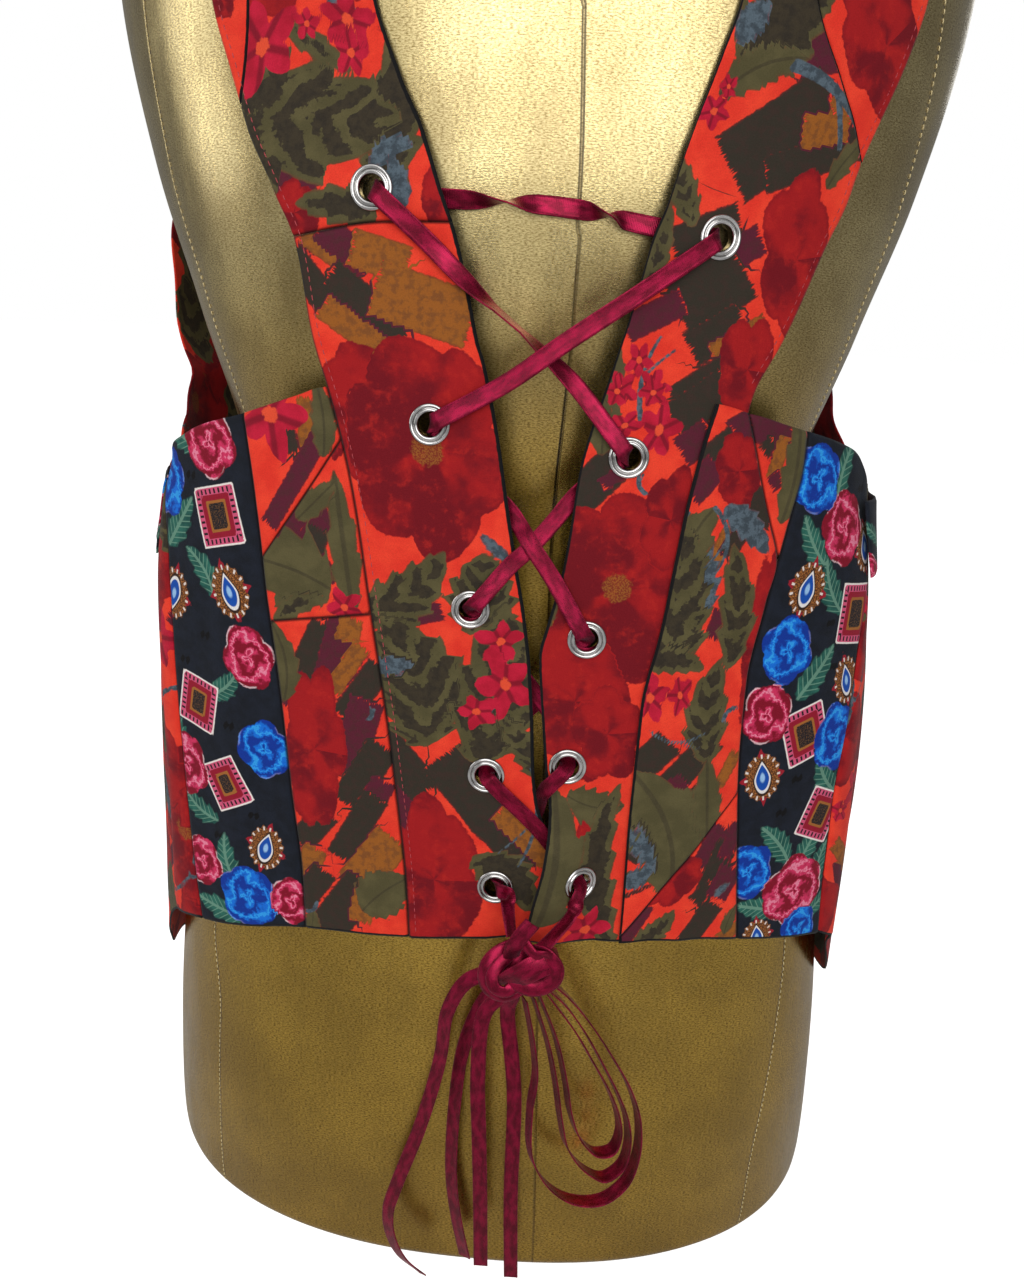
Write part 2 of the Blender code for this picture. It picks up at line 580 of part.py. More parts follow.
def make_fronts():
    """The bands, straps, fronts and navy sides, each cut piece by itself."""
    print_a, print_b = "scarlet_print", "navy_print"
    left_ridge = [(-89.8, 686.3), (-89.8, 705.5)]
    right_ridge = [(89.8, 700.7), (89.8, 683.6)]
    finer_up = 1 - (1 - np.linspace(0, 1, 14)) ** 1.5
    finer_left = np.concatenate([np.linspace(0, 0.36, 6), np.linspace(0.36, 1, 6)[1:]])
    finer_down = np.concatenate([np.linspace(0, 0.2, 9), np.linspace(0.2, 1, 16)[1:]])

    left_low = panel("band_left_lower", (
        seam(LEFT_OUTER, 171, 425), seam(LEFT_INNER, 176, 431),
        rim(HEM, -5.4, 6.6), through(LEFT_CROSS)), 8, 18, print_a)
    left_high = panel("band_left_upper", (
        seam(LEFT_OUTER, 425, 464), seam(LEFT_INNER, 431, 645),
        through(LEFT_CROSS), through(LEFT_DIAGONAL)), 8, 15, print_a)
    panel("strap_left", (
        seam(LEFT_OUTER, 464, 686.3), seam(LEFT_INNER, 645, 705.5),
        through(LEFT_DIAGONAL), through(left_ridge)), 8, finer_up, print_a)
    cut_eyelet_holes(left_low, LEFT_EYELETS[1:], flat_rise)
    cut_eyelet_holes(left_high, LEFT_EYELETS[:1], flat_rise)

    right_band = panel("band_right", (
        seam(RIGHT_INNER, 176, 565), seam(RIGHT_OUTER, 177, 456),
        rim(HEM, 3.4, 18), through(RIGHT_DIAGONAL)),
        finer_left, finer_down, print_a, rise=right_band_rise)
    panel("strap_right", (
        seam(RIGHT_INNER, 565, 700.7), seam(RIGHT_OUTER, 456, 683.6),
        through(RIGHT_DIAGONAL), through(right_ridge)), finer_left, finer_up, print_a)
    cut_eyelet_holes(right_band, RIGHT_EYELETS, right_band_rise)

    panel("front_left_lower", (
        seam(LEFT_NAVY, 169, 294.3), seam(LEFT_OUTER, 171.5, 301.3),
        rim(HEM, -18.2, -5.4), through(LEFT_LOW_PIECING)), 6, 10, print_a)
    panel("front_left_middle", (
        seam(LEFT_NAVY, 294.3, 317.5), seam(LEFT_OUTER, 301.3, 361.7),
        through(LEFT_LOW_PIECING), through(LEFT_HIGH_PIECING)), 6, 5, print_a)
    panel("front_left_upper", (
        seam(LEFT_NAVY, 317.5, 367.3), seam(LEFT_OUTER, 361.7, 378.5),
        through(LEFT_HIGH_PIECING), rim(TOP_EDGE, -29.4, -15.6)), 6, 5, print_a)
    panel("side_left", (
        seam(LEFT_SIDE, 159, 349), seam(LEFT_NAVY, 169, 367.3),
        rim(HEM, -37.1, -18.2), rim(TOP_EDGE, -52, -29.4)), 6, 13, print_b)

    panel("front_right", (
        seam(RIGHT_FREE, 178.5, 379), seam(RIGHT_DART, 238, 376),
        through(RIGHT_LOW_PIECING), rim(TOP_EDGE, 25.6, 30.9)),
        9, 14, print_a, rise=right_front_rise)
    panel("front_right_corner", (
        seam(RIGHT_FREE, 176, 178.5), seam(RIGHT_NAVY, 173, 238),
        rim(HEM, 13.8, 31.3), through(RIGHT_LOW_PIECING)),
        9, 5, print_a, rise=right_front_rise)
    panel("front_right_wedge", (
        seam(RIGHT_DART, 327, 376), seam(RIGHT_NAVY, 327, 369.6),
        through([(35.8, 327), (36.3, 327)]), rim(TOP_EDGE, 30.9, 43.2)),
        4, np.array([0, 0.23, 0.615, 1]), print_a, rise=right_front_rise)
    panel("side_right", (
        seam(RIGHT_NAVY, 173, 369.6), seam(RIGHT_SIDE, 165, 348),
        rim(HEM, 31.3, 49.8), rim(TOP_EDGE, 43.2, 65)), 6, 13, print_b)


def finer_ends(count):
    """Shares from 0 to 1, closer together towards both ends."""
    share = np.linspace(0, 1, count)
    return share - 0.37 * np.sin(2 * math.pi * share) / (2 * math.pi)


def make_back():
    """The back, cut in one with its shoulders, and the half belt across it."""
    side_share = 0.34
    right = joined(seam(shifted(RIGHT_SIDE, -360), 165, 348), through(ARMHOLE_RIGHT), side_share)
    left = joined(seam(LEFT_SIDE, 159, 349), through(ARMHOLE_LEFT), side_share)
    climb = 1 - (1 - np.linspace(0, 1, 19)[1:]) ** 1.4
    rows = np.concatenate([np.linspace(0, side_share, 13), side_share + (1 - side_share) * climb])
    panel("back", (right, left, rim(HEM, -310.2, -37.1), through(NECKLINE, even=True)),
          finer_ends(29), rows, "scarlet_print", rise=back_rise)

    middle = [(-302, 328), (-180, 321), (-56, 321)]
    lower = [(turn, height - BELT_WIDTH / 2) for turn, height in middle]
    upper = [(turn, height + BELT_WIDTH / 2) for turn, height in middle]
    panel("back_belt", (
        through([lower[0], upper[0]]), through([lower[-1], upper[-1]]),
        through(lower), through(upper)),
        finer_ends(29), 4, "navy_print", rise=back_rise, lift=BELT_RISE)


def curve_through(points, samples):
    """Smooth samples along a route, evenly spaced, through its own points."""
    p = np.asarray(points, float)
    steps = np.linalg.norm(np.diff(p, axis=0), axis=1) ** 0.5
    place = np.concatenate([[0.0], np.cumsum(steps)])
    before = np.vstack([2 * p[0] - p[1], p, 2 * p[-1] - p[-2]])
    knots = np.concatenate([[-steps[0]], place, [place[-1] + steps[-1]]])
    fine = np.linspace(0, place[-1], 40 * len(p))
    i = np.clip(np.searchsorted(place, fine, side="right"), 1, len(place) - 1)
    t0, t1, t2, t3 = (knots[i + k][:, None] for k in (-1, 0, 1, 2))
    p0, p1, p2, p3 = (before[i + k] for k in (-1, 0, 1, 2))
    t = fine[:, None]
    a1 = (t1 - t) / (t1 - t0) * p0 + (t - t0) / (t1 - t0) * p1
    a2 = (t2 - t) / (t2 - t1) * p1 + (t - t1) / (t2 - t1) * p2
    a3 = (t3 - t) / (t3 - t2) * p2 + (t - t2) / (t3 - t2) * p3
    b1 = (t2 - t) / (t2 - t0) * a1 + (t - t0) / (t2 - t0) * a2
    b2 = (t3 - t) / (t3 - t1) * a2 + (t - t1) / (t3 - t1) * a3
    track = (t2 - t) / (t2 - t1) * b1 + (t - t1) / (t2 - t1) * b2
    length = np.concatenate([[0.0], np.cumsum(np.linalg.norm(np.diff(track, axis=0), axis=1))])
    at = np.interp(np.linspace(0, place[-1], samples), fine, length)
    sampled = np.stack([np.interp(at, length, track[:, k]) for k in range(3)], -1)
    share = np.interp(at, length, fine) / place[-1]
    return sampled, share, place / place[-1]


def ribbon(name, route, samples, width=RIBBON_WIDTH, thick=RIBBON_THICK):
    """A flat ribbon along a route of points, each with the way its width lies."""
    points = np.array([point for point, across in route], float)
    across = np.array([across for point, across in route], float)
    track, share, place = curve_through(points, samples)
    ahead = unit(np.gradient(track, axis=0))
    wide = np.stack([np.interp(share, place, across[:, k]) for k in range(3)], -1)
    wide = unit(wide - ahead * np.sum(wide * ahead, axis=1, keepdims=True))
    face = np.cross(ahead, wide)
    corners = [(-1, -1), (1, -1), (1, 1), (-1, 1)]
    rings = np.stack([track + wide * (a * width / 2) + face * (b * thick / 2)
                      for a, b in corners], axis=1)
    count = len(track)
    faces = [[3, 2, 1, 0], [4 * (count - 1) + k for k in range(4)]]
    for i in range(count - 1):
        for k in range(4):
            j = (k + 1) % 4
            faces.append([4 * i + k, 4 * i + j, 4 * i + 4 + j, 4 * i + 4 + k])
    return add_object(name, rings.reshape(-1, 3), faces, "satin")


# The lace's way from the knot, up through the eyelets and down again. Each stretch between two
# eyelets lists its own places: turn, height and how far it stands above the cloth's inner face.
Through = namedtuple("Through", "name enters leaves")
FRONT, BEHIND = 1.0, -1.0
LACE = [
    [("free", (11.0, -132.0, 186.0)), ("free", (6.5, -125.0, 190.5))],
    Through("eyelet_left_5", FRONT, BEHIND),
    [(2.8, 213, -2.9), ("slit", 4.2, 227.5, -3.6), ("slit", 4.7, 237.5, 1.3), (5.5, 242.6, 4.1)],
    Through("eyelet_right_4", FRONT, BEHIND),
    [(6.0, 262, -3.2), (1.5, 287, -3.4)],
    Through("eyelet_left_3", BEHIND, FRONT),
    [(1.7, 322.8, 2.6), (2.7, 326.7, 2.4), (3.8, 331, 0.8), (5.6, 338.2, -1.1), (8.0, 347.5, -1.9)],
    Through("eyelet_right_2", BEHIND, FRONT),
    [(8.2, 381, 3.4), (2.0, 402, 4.0), (-4.0, 418, 4.2)],
    Through("eyelet_left_1", FRONT, BEHIND),
    [(-4.0, 438, -1.7), (3.0, 436.5, -1.9), (12.0, 437, -0.6), (18.0, 431.5, -1.8)],
    Through("eyelet_right_1", BEHIND, FRONT),
    [(15.0, 413, 5.4), (7.0, 397, 6.0), (1.5, 383, 4.6)],
    Through("eyelet_left_2", FRONT, BEHIND),
    [(-0.6, 351.5, -2.7), (1.4, 341, -2.5), (2.3, 336, -1.2), (3.3, 330.4, 2.7), (5.4, 318.6, 3.4)],
    Through("eyelet_right_3", FRONT, BEHIND),
    [(5.5, 277, -4.8), (2.0, 262, -4.8)],
    Through("eyelet_left_4", BEHIND, FRONT),
    [(4.2, 224, 3.2), (6.2, 214, 2.4)],
    Through("eyelet_right_5", BEHIND, FRONT),
    [("free", (27.5, -131.0, 189.0)), ("free", (21.5, -132.5, 184.2))],
]


def lace_route(seats):
    """The lace's points and the way its width lies at each."""
    stops = []
    for item in LACE:
        if isinstance(item, Through):
            stops.append(("through", item))
            continue
        for row in item:
            if row[0] == "free":
                stops.append(("over", np.array(row[1])))
            elif row[0] == "slit":
                stops.append(("slit", cloth(*row[1:])))
            else:
                stops.append(("over", cloth(*row)))
    centre_of = [seats[item.name][0] if kind == "through" else item for kind, item in stops]
    route = []
    lay = None
    for i, (kind, item) in enumerate(stops):
        here = centre_of[i]
        if kind == "slit":
            lay = unit(np.array([0.68, -0.73, 0.0])) * (1 if lay[0] > 0 else -1)
            route.append((here, lay))
            continue
        if kind == "over":
            before, after = centre_of[max(i - 1, 0)], centre_of[min(i + 1, len(stops) - 1)]
            ahead = unit(after - before)
            facing = unit(np.array([here[0] * 0.4, -100.0, 0.0]))
            across = unit(np.cross(facing, ahead))
            across = across if lay is None or across @ lay > 0 else -across
            lay = across
            route.append((here, across))
            continue
        centre, facing = seats[item.name]

        def level(vector):
            return unit(vector - facing * (vector @ facing))

        into, out = level(centre - centre_of[i - 1]), level(centre_of[i + 1] - centre)
        first, second = np.cross(facing, into), np.cross(facing, out)
        first = first if lay is None or first @ lay > 0 else -first
        second = second if first @ second > 0 else -second
        for back, rise in ((5.4, 3.5), (2.2, 3.1)):
            route.append((centre - into * back + facing * item.enters * rise, first))
        route.append((centre, unit(first + second)))
        for ahead, rise in ((2.2, 3.1), (5.4, 3.5)):
            route.append((centre + out * ahead + facing * item.leaves * rise, second))
        lay = second
    return route


def make_lacing():
    seats = {}
    for eyelets, rise in ((LEFT_EYELETS, flat_rise), (RIGHT_EYELETS, right_band_rise)):
        for eyelet in eyelets:
            make_eyelet(eyelet, rise)
            seats[eyelet.name] = eyelet_seat(eyelet, rise)
    ribbon("lace", lace_route(seats), 210)


# What hangs from the knot: middle of the ribbon, and the way its width lies
SIDEWAYS, DEEP, ANGLED = (1.0, 0.0, 0.0), (0.25, -1.0, 0.0), (1.0, -0.55, 0.0)
HANGING = {
    "tail_1": (ANGLED, [(1.0, -130.5, 166), (-4.5, -129, 160.5), (-11.5, -127.5, 145), (-14, -127, 122),
                        (-21.5, -127, 87), (-31, -127, 55), (-34.5, -127, 40), (-33.5, -127, 27),
                        (-28.5, -127, 15), (-19, -127, 6.0)]),
    "tail_2": (ANGLED, [(7.5, -127.5, 157), (2.6, -125.5, 150), (-4.5, -123.5, 128),
                        (-7.6, -123.5, 103), (-8.5, -124, 61), (-5.8, -124, 37), (-1.5, -124, 15)]),
    "tail_3": (SIDEWAYS, [(8.6, -133, 156.6), (3.5, -132.5, 150), (1.6, -131.5, 120),
                          (3.0, -131, 89), (4.6, -130.5, 55), (6.0, -130, 18)]),
    "tail_4": (SIDEWAYS, [(13.5, -129.5, 155), (11.8, -126.5, 147), (14.2, -125.5, 125),
                          (16.2, -125, 104), (17.0, -125, 53), (19.0, -125, 7)]),
    "loop_1": (DEEP, [(18.2, -131, 156.2), (22, -131, 138), (24, -131, 122), (22.8, -131, 104),
                      (24.5, -131, 80), (33, -131, 65.5), (43, -131, 60), (54, -131, 61.5),
                      (63, -131, 72), (66.5, -131, 88), (65.5, -131, 105), (61, -131, 119),
                      (54, -131, 132), (43, -131, 149), (34, -131, 160), (27, -131, 166.5)]),
    "loop_2": (DEEP, [(21.2, -131, 157.6), (28, -131, 137), (32, -131, 119), (35, -131, 101),
                      (38.5, -131, 87), (46, -131, 77), (54, -131, 73.5), (60.5, -131, 80),
                      (62.5, -131, 92), (61, -131, 104), (56.5, -131, 116), (50, -131, 129),
                      (40.5, -131, 146), (32, -131, 157.5), (26.2, -131, 162.8)]),
    "loop_3": (DEEP, [(23.2, -131, 159.4), (31, -131, 139.5), (35.8, -131, 120), (38.8, -131, 104),
                      (43.5, -131, 92), (50, -131, 86), (56, -131, 87.5), (58.6, -131, 96),
                      (57.2, -131, 106), (52.6, -131, 118), (46, -131, 130), (38, -131, 144),
                      (25.8, -131, 161.0)]),
}


def knot_point(tilt, angle):
    """A place on the knot; tilt is 0 at its bottom and pi at its top."""
    swell = 1 + 0.05 * math.sin(3 * angle + 2.4 * tilt)
    offset = np.array([math.sin(tilt) * math.cos(angle) * swell,
                       math.sin(tilt) * math.sin(angle) * swell, -math.cos(tilt)])
    return np.array(KNOT_CENTRE) + offset * np.array(KNOT_RADII)


def beside_knot(point):
    """The place just clear of the knot on the way to a point."""
    away = np.array(point, float) - np.array(KNOT_CENTRE)
    scaled = unit(away / np.array(KNOT_RADII))
    surface = knot_point(math.acos(-scaled[2]), math.atan2(scaled[1], scaled[0]))
    return surface + unit(away) * 3 * GAP


def make_knot():
    """The bow's knot, a lumpy round of wrapped ribbon, and all that hangs from it."""
    around, rings = 14, 9
    points = [knot_point(0.0, 0.0)]
    for i in range(1, rings):
        points += [knot_point(math.pi * i / rings, 2 * math.pi * k / around) for k in range(around)]
    points.append(knot_point(math.pi, 0.0))
    last = len(points) - 1
    faces = []
    for k in range(around):
        j = (k + 1) % around
        faces.append([0, 1 + j, 1 + k])
        faces.append([last, last - around + k, last - around + j])
        for i in range(rings - 2):
            a, b = 1 + i * around, 1 + (i + 1) * around
            faces.append([a + k, a + j, b + j, b + k])
    add_object("knot", points, faces, "satin")
    for name, (across, points) in HANGING.items():
        points = [np.array(point, float) for point in points]
        points[0] = beside_knot(points[0])
        if name.startswith("loop"):
            points[-1] = beside_knot(points[-1])
        ribbon(name, [(point, across) for point in points], 2 + 2 * len(points))


def main():
    for thing in list(bpy.data.objects):
        bpy.data.objects.remove(thing, do_unlink=True)
    make_form()
    make_fronts()
    make_back()
    make_lacing()
    make_knot()


main()
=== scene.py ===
"""Looks of the laced patchwork vest and the dress form that it stands on.

Tables are in millimetres and degrees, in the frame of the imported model. A place on the cloth is
given by its turn round the body, 0 at the centre front and positive towards +X, and by its
height above the base. Print motifs are drawn as distances to their outlines, held by the points
of each cut piece and coloured by the material.
"""

import math
from collections import namedtuple

import bpy
import numpy as np
from mathutils import Matrix, Vector


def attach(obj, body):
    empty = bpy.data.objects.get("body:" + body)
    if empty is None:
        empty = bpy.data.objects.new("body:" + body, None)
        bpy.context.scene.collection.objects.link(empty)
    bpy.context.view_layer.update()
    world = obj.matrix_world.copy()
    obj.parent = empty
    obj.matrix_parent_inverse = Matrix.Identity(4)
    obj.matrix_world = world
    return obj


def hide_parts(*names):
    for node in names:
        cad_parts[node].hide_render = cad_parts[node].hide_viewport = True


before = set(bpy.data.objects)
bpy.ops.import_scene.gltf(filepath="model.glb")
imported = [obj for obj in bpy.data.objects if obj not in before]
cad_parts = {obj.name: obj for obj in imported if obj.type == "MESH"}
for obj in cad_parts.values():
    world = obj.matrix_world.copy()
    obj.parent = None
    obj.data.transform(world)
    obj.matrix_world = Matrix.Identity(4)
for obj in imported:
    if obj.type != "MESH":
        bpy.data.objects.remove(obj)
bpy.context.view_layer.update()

MM = 0.001
CLOTH = 1.6
GAP = 0.3
CLEAR = 0.9
STACK = CLOTH + GAP + 0.1
BELT_RISE = STACK + 1.3
BELT_WIDTH = 29.0
SEAM_TRIM = 0.05
SHELL = 1.15            # thickness of the fine cloth shells, measured in from the outer face
SEAM_DIP = 0.75         # how deep a sewn edge sinks, and how far in that starts
SEAM_SPREAD = 0.7
EDGE_DIP = 0.42         # how deep a free edge rounds over, outside and inside, and how far in
EDGE_DIP_INSIDE = 0.25
EDGE_SPREAD = 0.35
EYELET_HOLE = 5.3
RIBBON_WIDTH = 6.0
RIBBON_THICK = 0.6
LACE_SAMPLES = 1100
WRAP_SAMPLES = 90
HANGING_SAMPLES = 26    # for each listed place
CORD_STEP = 13          # of those samples, one in so many is picked out as a place along the ribbon
KNOT_CENTRE = (15.0, -131.0, 171.0)
KNOT_RADII = (10.5, 8.0, 14.0)
KNOT_CORE = 0.74        # share of the knot's radii that its core fills
WRAP_CUP = 0.7          # how far the middle of a wrap stands above its edges

Section = namedtuple("Section", "height half_width front back power")
FORM = [
    Section(0, 160, 112, 110, 2.35),
    Section(4, 162.5, 114.5, 112.5, 2.35),
    Section(12, 163, 115, 113, 2.35),
    Section(60, 161, 117, 117, 2.35),
    Section(130, 155, 111, 116, 2.35),
    Section(200, 141, 101, 105, 2.35),
    Section(270, 124, 93, 93, 2.35),
    Section(330, 117, 92, 88, 2.3),
    Section(400, 134, 100, 92, 2.35),
    Section(450, 148, 106, 98, 2.35),
    Section(500, 157, 108, 104, 2.35),
    Section(540, 160, 104, 108, 2.35),
    Section(580, 165, 96, 110, 2.35),
    Section(620, 171, 84, 106, 2.3),
    Section(650, 174, 70, 96, 2.25),
    Section(668, 168, 60, 84, 2.2),
    Section(680, 142, 54, 74, 2.15),
    Section(690, 112, 50, 66, 2.1),
    Section(700, 80, 48, 60, 2.05),
    Section(712, 60, 47, 56, 2.0),
    Section(735, 53, 46, 52, 2.0),
    Section(751, 51, 45, 50, 2.0),
    Section(755, 48, 42, 47, 2.0),
]

# Where the cloth hangs free of the form; middle is how far it hangs off centre
Hang = namedtuple("Hang", "height middle half_width front back power")
HANG = [
    Hang(40, -2, 171, 119, 122, 2.5),
    Hang(100, -2, 171, 119, 121.5, 2.5),
    Hang(150, -2.5, 172.5, 118.5, 120.5, 2.5),
    Hang(200, -2, 170.5, 117.5, 118.5, 2.5),
    Hang(250, -2.5, 167.5, 116.5, 116, 2.5),
    Hang(300, -4, 162, 115.5, 114, 2.5),
    Hang(350, -5.5, 152, 114, 113, 2.5),
    Hang(400, -8, 147, 112.5, 113, 2.5),
    Hang(450, -8, 148, 111, 113, 2.45),
    Hang(500, -4, 158, 111, 113, 2.4),
    Hang(560, 0, 166, 108, 113, 2.4),
    Hang(600, 0, 170, 100, 111, 2.4),
    Hang(755, 0, 60, 60, 60, 2.4),
]

# How far the sides are pulled in: where each pull starts, how deep it is, and its depth behind
Pull = namedtuple("Pull", "height left_from left_in left_back right_from right_in right_back")
PULL_SPAN = 16.0
PULLS = [
    Pull(40, 40, 6, 6, 52, 6, 6),
    Pull(90, 40, 10, 8, 52, 9, 8),
    Pull(130, 40, 15, 9, 52, 11, 8),
    Pull(165, 41, 16.5, 9, 52, 11.5, 7),
    Pull(210, 42, 15, 9, 52, 9.5, 7),
    Pull(260, 44, 14.5, 9, 53, 8.5, 7),
    Pull(300, 46, 15, 9, 56, 8, 6),
    Pull(330, 46.5, 16, 7, 59, 7.5, 5),
    Pull(348, 44, 16, 4, 61, 7, 4),
    Pull(365, 48, 10, 0, 62, 5, 3),
    Pull(385, 52, 3, -4, 62, 2, 1),
    Pull(410, 52, 0, -10, 62, 0, 0),
    Pull(432, 52, 0, -13, 62, 0, 0),
    Pull(470, 52, 0, -7, 62, 0, 0),
    Pull(500, 52, 0, 0, 62, 0, 0),
]

# Seams and edges that run upwards
Mark = namedtuple("Mark", "height turn")
LEFT_INNER = [
    Mark(176, 6.6), Mark(210, 6.3), Mark(223, 5.0), Mark(233, 4.2), Mark(246, 3.8), Mark(266, 3.6),
    Mark(288, 3.3), Mark(306, 2.8), Mark(324, 2.1), Mark(345, 1.4), Mark(380, 0.4), Mark(411, -0.8),
    Mark(429, -2.0), Mark(442, -3.7), Mark(457, -6.3), Mark(472, -9.8), Mark(492, -12.9),
    Mark(540, -15.5), Mark(600, -17.3), Mark(650, -19.0), Mark(668, -21.0), Mark(680, -26.5),
    Mark(690, -35.6), Mark(700, -57.8), Mark(705.5, -89.8),
]
LEFT_OUTER = [
    Mark(171, -5.4), Mark(204, -6.2), Mark(229, -7.0), Mark(269, -8.5), Mark(302, -10.0),
    Mark(348, -12.9), Mark(377, -15.6), Mark(393, -17.5), Mark(425, -20.3), Mark(439, -23.4),
    Mark(457, -28.6), Mark(475, -32.5), Mark(494, -35.4), Mark(540, -37.1), Mark(600, -37.4),
    Mark(650, -39.8), Mark(668, -43.7), Mark(680, -58.1), Mark(685, -75.0), Mark(686.3, -89.8),
]
LEFT_NAVY = [
    Mark(169, -18.2), Mark(198, -19.0), Mark(223, -20.2), Mark(256, -21.6), Mark(287, -23.1),
    Mark(316, -25.0), Mark(337, -26.8), Mark(368, -29.4),
]
LEFT_SIDE = [
    Mark(159, -37.1), Mark(210, -40.6), Mark(261, -42.7), Mark(309, -45.3), Mark(338, -50.3),
    Mark(349, -52.0),
]
RIGHT_INNER = [
    Mark(176, 3.4), Mark(191, 4.0), Mark(212, 5.0), Mark(226, 5.3), Mark(238, 5.15), Mark(246, 4.8),
    Mark(265, 4.4), Mark(290, 4.1), Mark(303, 4.9), Mark(318, 6.1), Mark(335, 7.1), Mark(356, 8.2),
    Mark(369, 9.5), Mark(385, 11.6), Mark(401, 13.4), Mark(416, 14.8), Mark(429, 16.0),
    Mark(440, 17.5), Mark(455, 18.4), Mark(469, 18.8), Mark(483, 19.5), Mark(496, 20.6),
    Mark(540, 22.3), Mark(600, 23.2), Mark(650, 23.9), Mark(668, 25.5), Mark(680, 31.7),
    Mark(690, 43.1), Mark(697, 62.0), Mark(700.7, 89.8),
]
RIGHT_OUTER = [
    Mark(176, 18.0), Mark(219, 18.0), Mark(247, 18.5), Mark(275, 19.5), Mark(297, 21.5),
    Mark(326, 24.0), Mark(354, 27.0), Mark(367, 30.0), Mark(382, 32.3), Mark(398, 36.8),
    Mark(413, 40.3), Mark(429, 43.6), Mark(445, 46.6), Mark(458, 47.3), Mark(472, 47.8),
    Mark(487, 48.6), Mark(504, 49.7), Mark(540, 50.3), Mark(600, 47.7), Mark(650, 46.6),
    Mark(668, 50.1), Mark(677, 60.6), Mark(682, 74.0), Mark(683.6, 89.8),
]
RIGHT_FREE = [
    Mark(176, 13.8), Mark(218, 13.9), Mark(247, 14.3), Mark(275, 15.0), Mark(297, 16.9),
    Mark(326, 19.3), Mark(354, 22.0), Mark(367, 23.7), Mark(379, 25.6),
]
RIGHT_DART = [
    Mark(238, 29.1), Mark(250, 29.0), Mark(281, 29.9), Mark(311, 33.4), Mark(326, 35.8),
    Mark(340, 34.6), Mark(358, 32.6), Mark(376, 30.9),
]
RIGHT_NAVY = [
    Mark(173, 31.3), Mark(212, 29.8), Mark(250, 29.0), Mark(281, 29.9), Mark(311, 33.5),
    Mark(336, 38.0), Mark(356, 41.7), Mark(369.6, 43.2),
]
RIGHT_SIDE = [
    Mark(165, 49.8), Mark(190, 49.2), Mark(225, 49.6), Mark(258, 52.6), Mark(286, 55.5),
    Mark(308, 60.2), Mark(330, 63.5), Mark(348, 65.0),
]

# Edges that run round the body
Rim = namedtuple("Rim", "turn height")
HEM = [
    Rim(-312, 166), Rim(-298, 148), Rim(-285, 118), Rim(-272, 95), Rim(-258, 82), Rim(-240, 78),
    Rim(-180, 74), Rim(-130, 70), Rim(-100, 68), Rim(-88, 80), Rim(-75, 108), Rim(-60, 140),
    Rim(-50, 152), Rim(-44, 156), Rim(-37.1, 159), Rim(-29.5, 162), Rim(-18.2, 169),
    Rim(-6, 172), Rim(0, 175), Rim(4, 178), Rim(7, 178), Rim(14, 176), Rim(18, 177),
    Rim(31.3, 173.5), Rim(40, 170), Rim(50, 165.5),
]
TOP_EDGE = [
    Rim(-52, 349), Rim(-44, 356), Rim(-39, 361), Rim(-29.4, 367.3), Rim(-20, 375), Rim(-15.6, 378.5),
    Rim(25.6, 379), Rim(31.9, 376.3), Rim(42, 370.1), Rim(50, 366), Rim(59.3, 359.4), Rim(65, 348),
]
ARMHOLE_LEFT = [
    Rim(-52, 349), Rim(-65, 342), Rim(-78, 339), Rim(-90, 352), Rim(-98, 385), Rim(-103, 431),
    Rim(-112, 470), Rim(-122, 520), Rim(-130, 570), Rim(-134, 610), Rim(-132, 645),
    Rim(-125, 671), Rim(-114, 680.5), Rim(-90.2, 686.3),
]
ARMHOLE_RIGHT = [
    Rim(-295, 348), Rim(-285, 342), Rim(-277, 341), Rim(-267, 354), Rim(-256, 385),
    Rim(-248, 431), Rim(-240, 470), Rim(-234, 520), Rim(-228, 570), Rim(-226, 610),
    Rim(-230, 645), Rim(-240, 670), Rim(-252, 679), Rim(-269.8, 683.6),
]
NECKLINE = [
    Rim(-269.8, 683.6), Rim(-269.8, 692), Rim(-269.6, 700.7), Rim(-246, 701), Rim(-222, 698),
    Rim(-180, 696), Rim(-138, 699), Rim(-114, 704), Rim(-90.4, 705.5), Rim(-90.2, 696),
    Rim(-90.2, 686.3),
]

# Seams that cross a band or a front, from the lower turn to the higher
LEFT_CROSS = [(-20.3, 425), (-8.8, 430.3), (-2.2, 431)]
LEFT_DIAGONAL = [(-30.3, 464), (-29.2, 494), (-18.85, 645)]
LEFT_LOW_PIECING = [(-23.5, 294.3), (-10.0, 301.3)]
LEFT_HIGH_PIECING = [(-25.1, 317.5), (-14.2, 361.7)]
RIGHT_DIAGONAL = [(22.7, 565), (30.2, 498.5), (47.3, 456)]
RIGHT_LOW_PIECING = [(13.8, 178.5), (20.2, 205.6), (29.1, 238)]

# Folds pressed into the cloth; rise is outwards
Fold = namedtuple("Fold", "turn height across along rise")
BACK_FOLDS = [
    Fold(-112, 369, 26, 8, -5.0),
    Fold(-106, 392, 24, 12, 2.5),
    Fold(-250, 362, 22, 8, -3.5),
    Fold(-150, 250, 9, 70, 2.5),
    Fold(-208, 240, 9, 80, 2.5),
    Fold(-98, 76, 11, 20, 9.0),
]

Eyelet = namedtuple("Eyelet", "name turn height")
LEFT_EYELETS = [
    Eyelet("eyelet_left_1", -10.5, 439.9), Eyelet("eyelet_left_2", -4.0, 368.4),
    Eyelet("eyelet_left_3", -0.7, 306.0), Eyelet("eyelet_left_4", 0.2, 243.4),
    Eyelet("eyelet_left_5", 1.0, 197.3),
]
RIGHT_EYELETS = [
    Eyelet("eyelet_right_1", 24.8, 430.2), Eyelet("eyelet_right_2", 13.8, 360.7),
    Eyelet("eyelet_right_3", 8.8, 297.3), Eyelet("eyelet_right_4", 7.0, 248.8),
    Eyelet("eyelet_right_5", 8.6, 203.6),
]


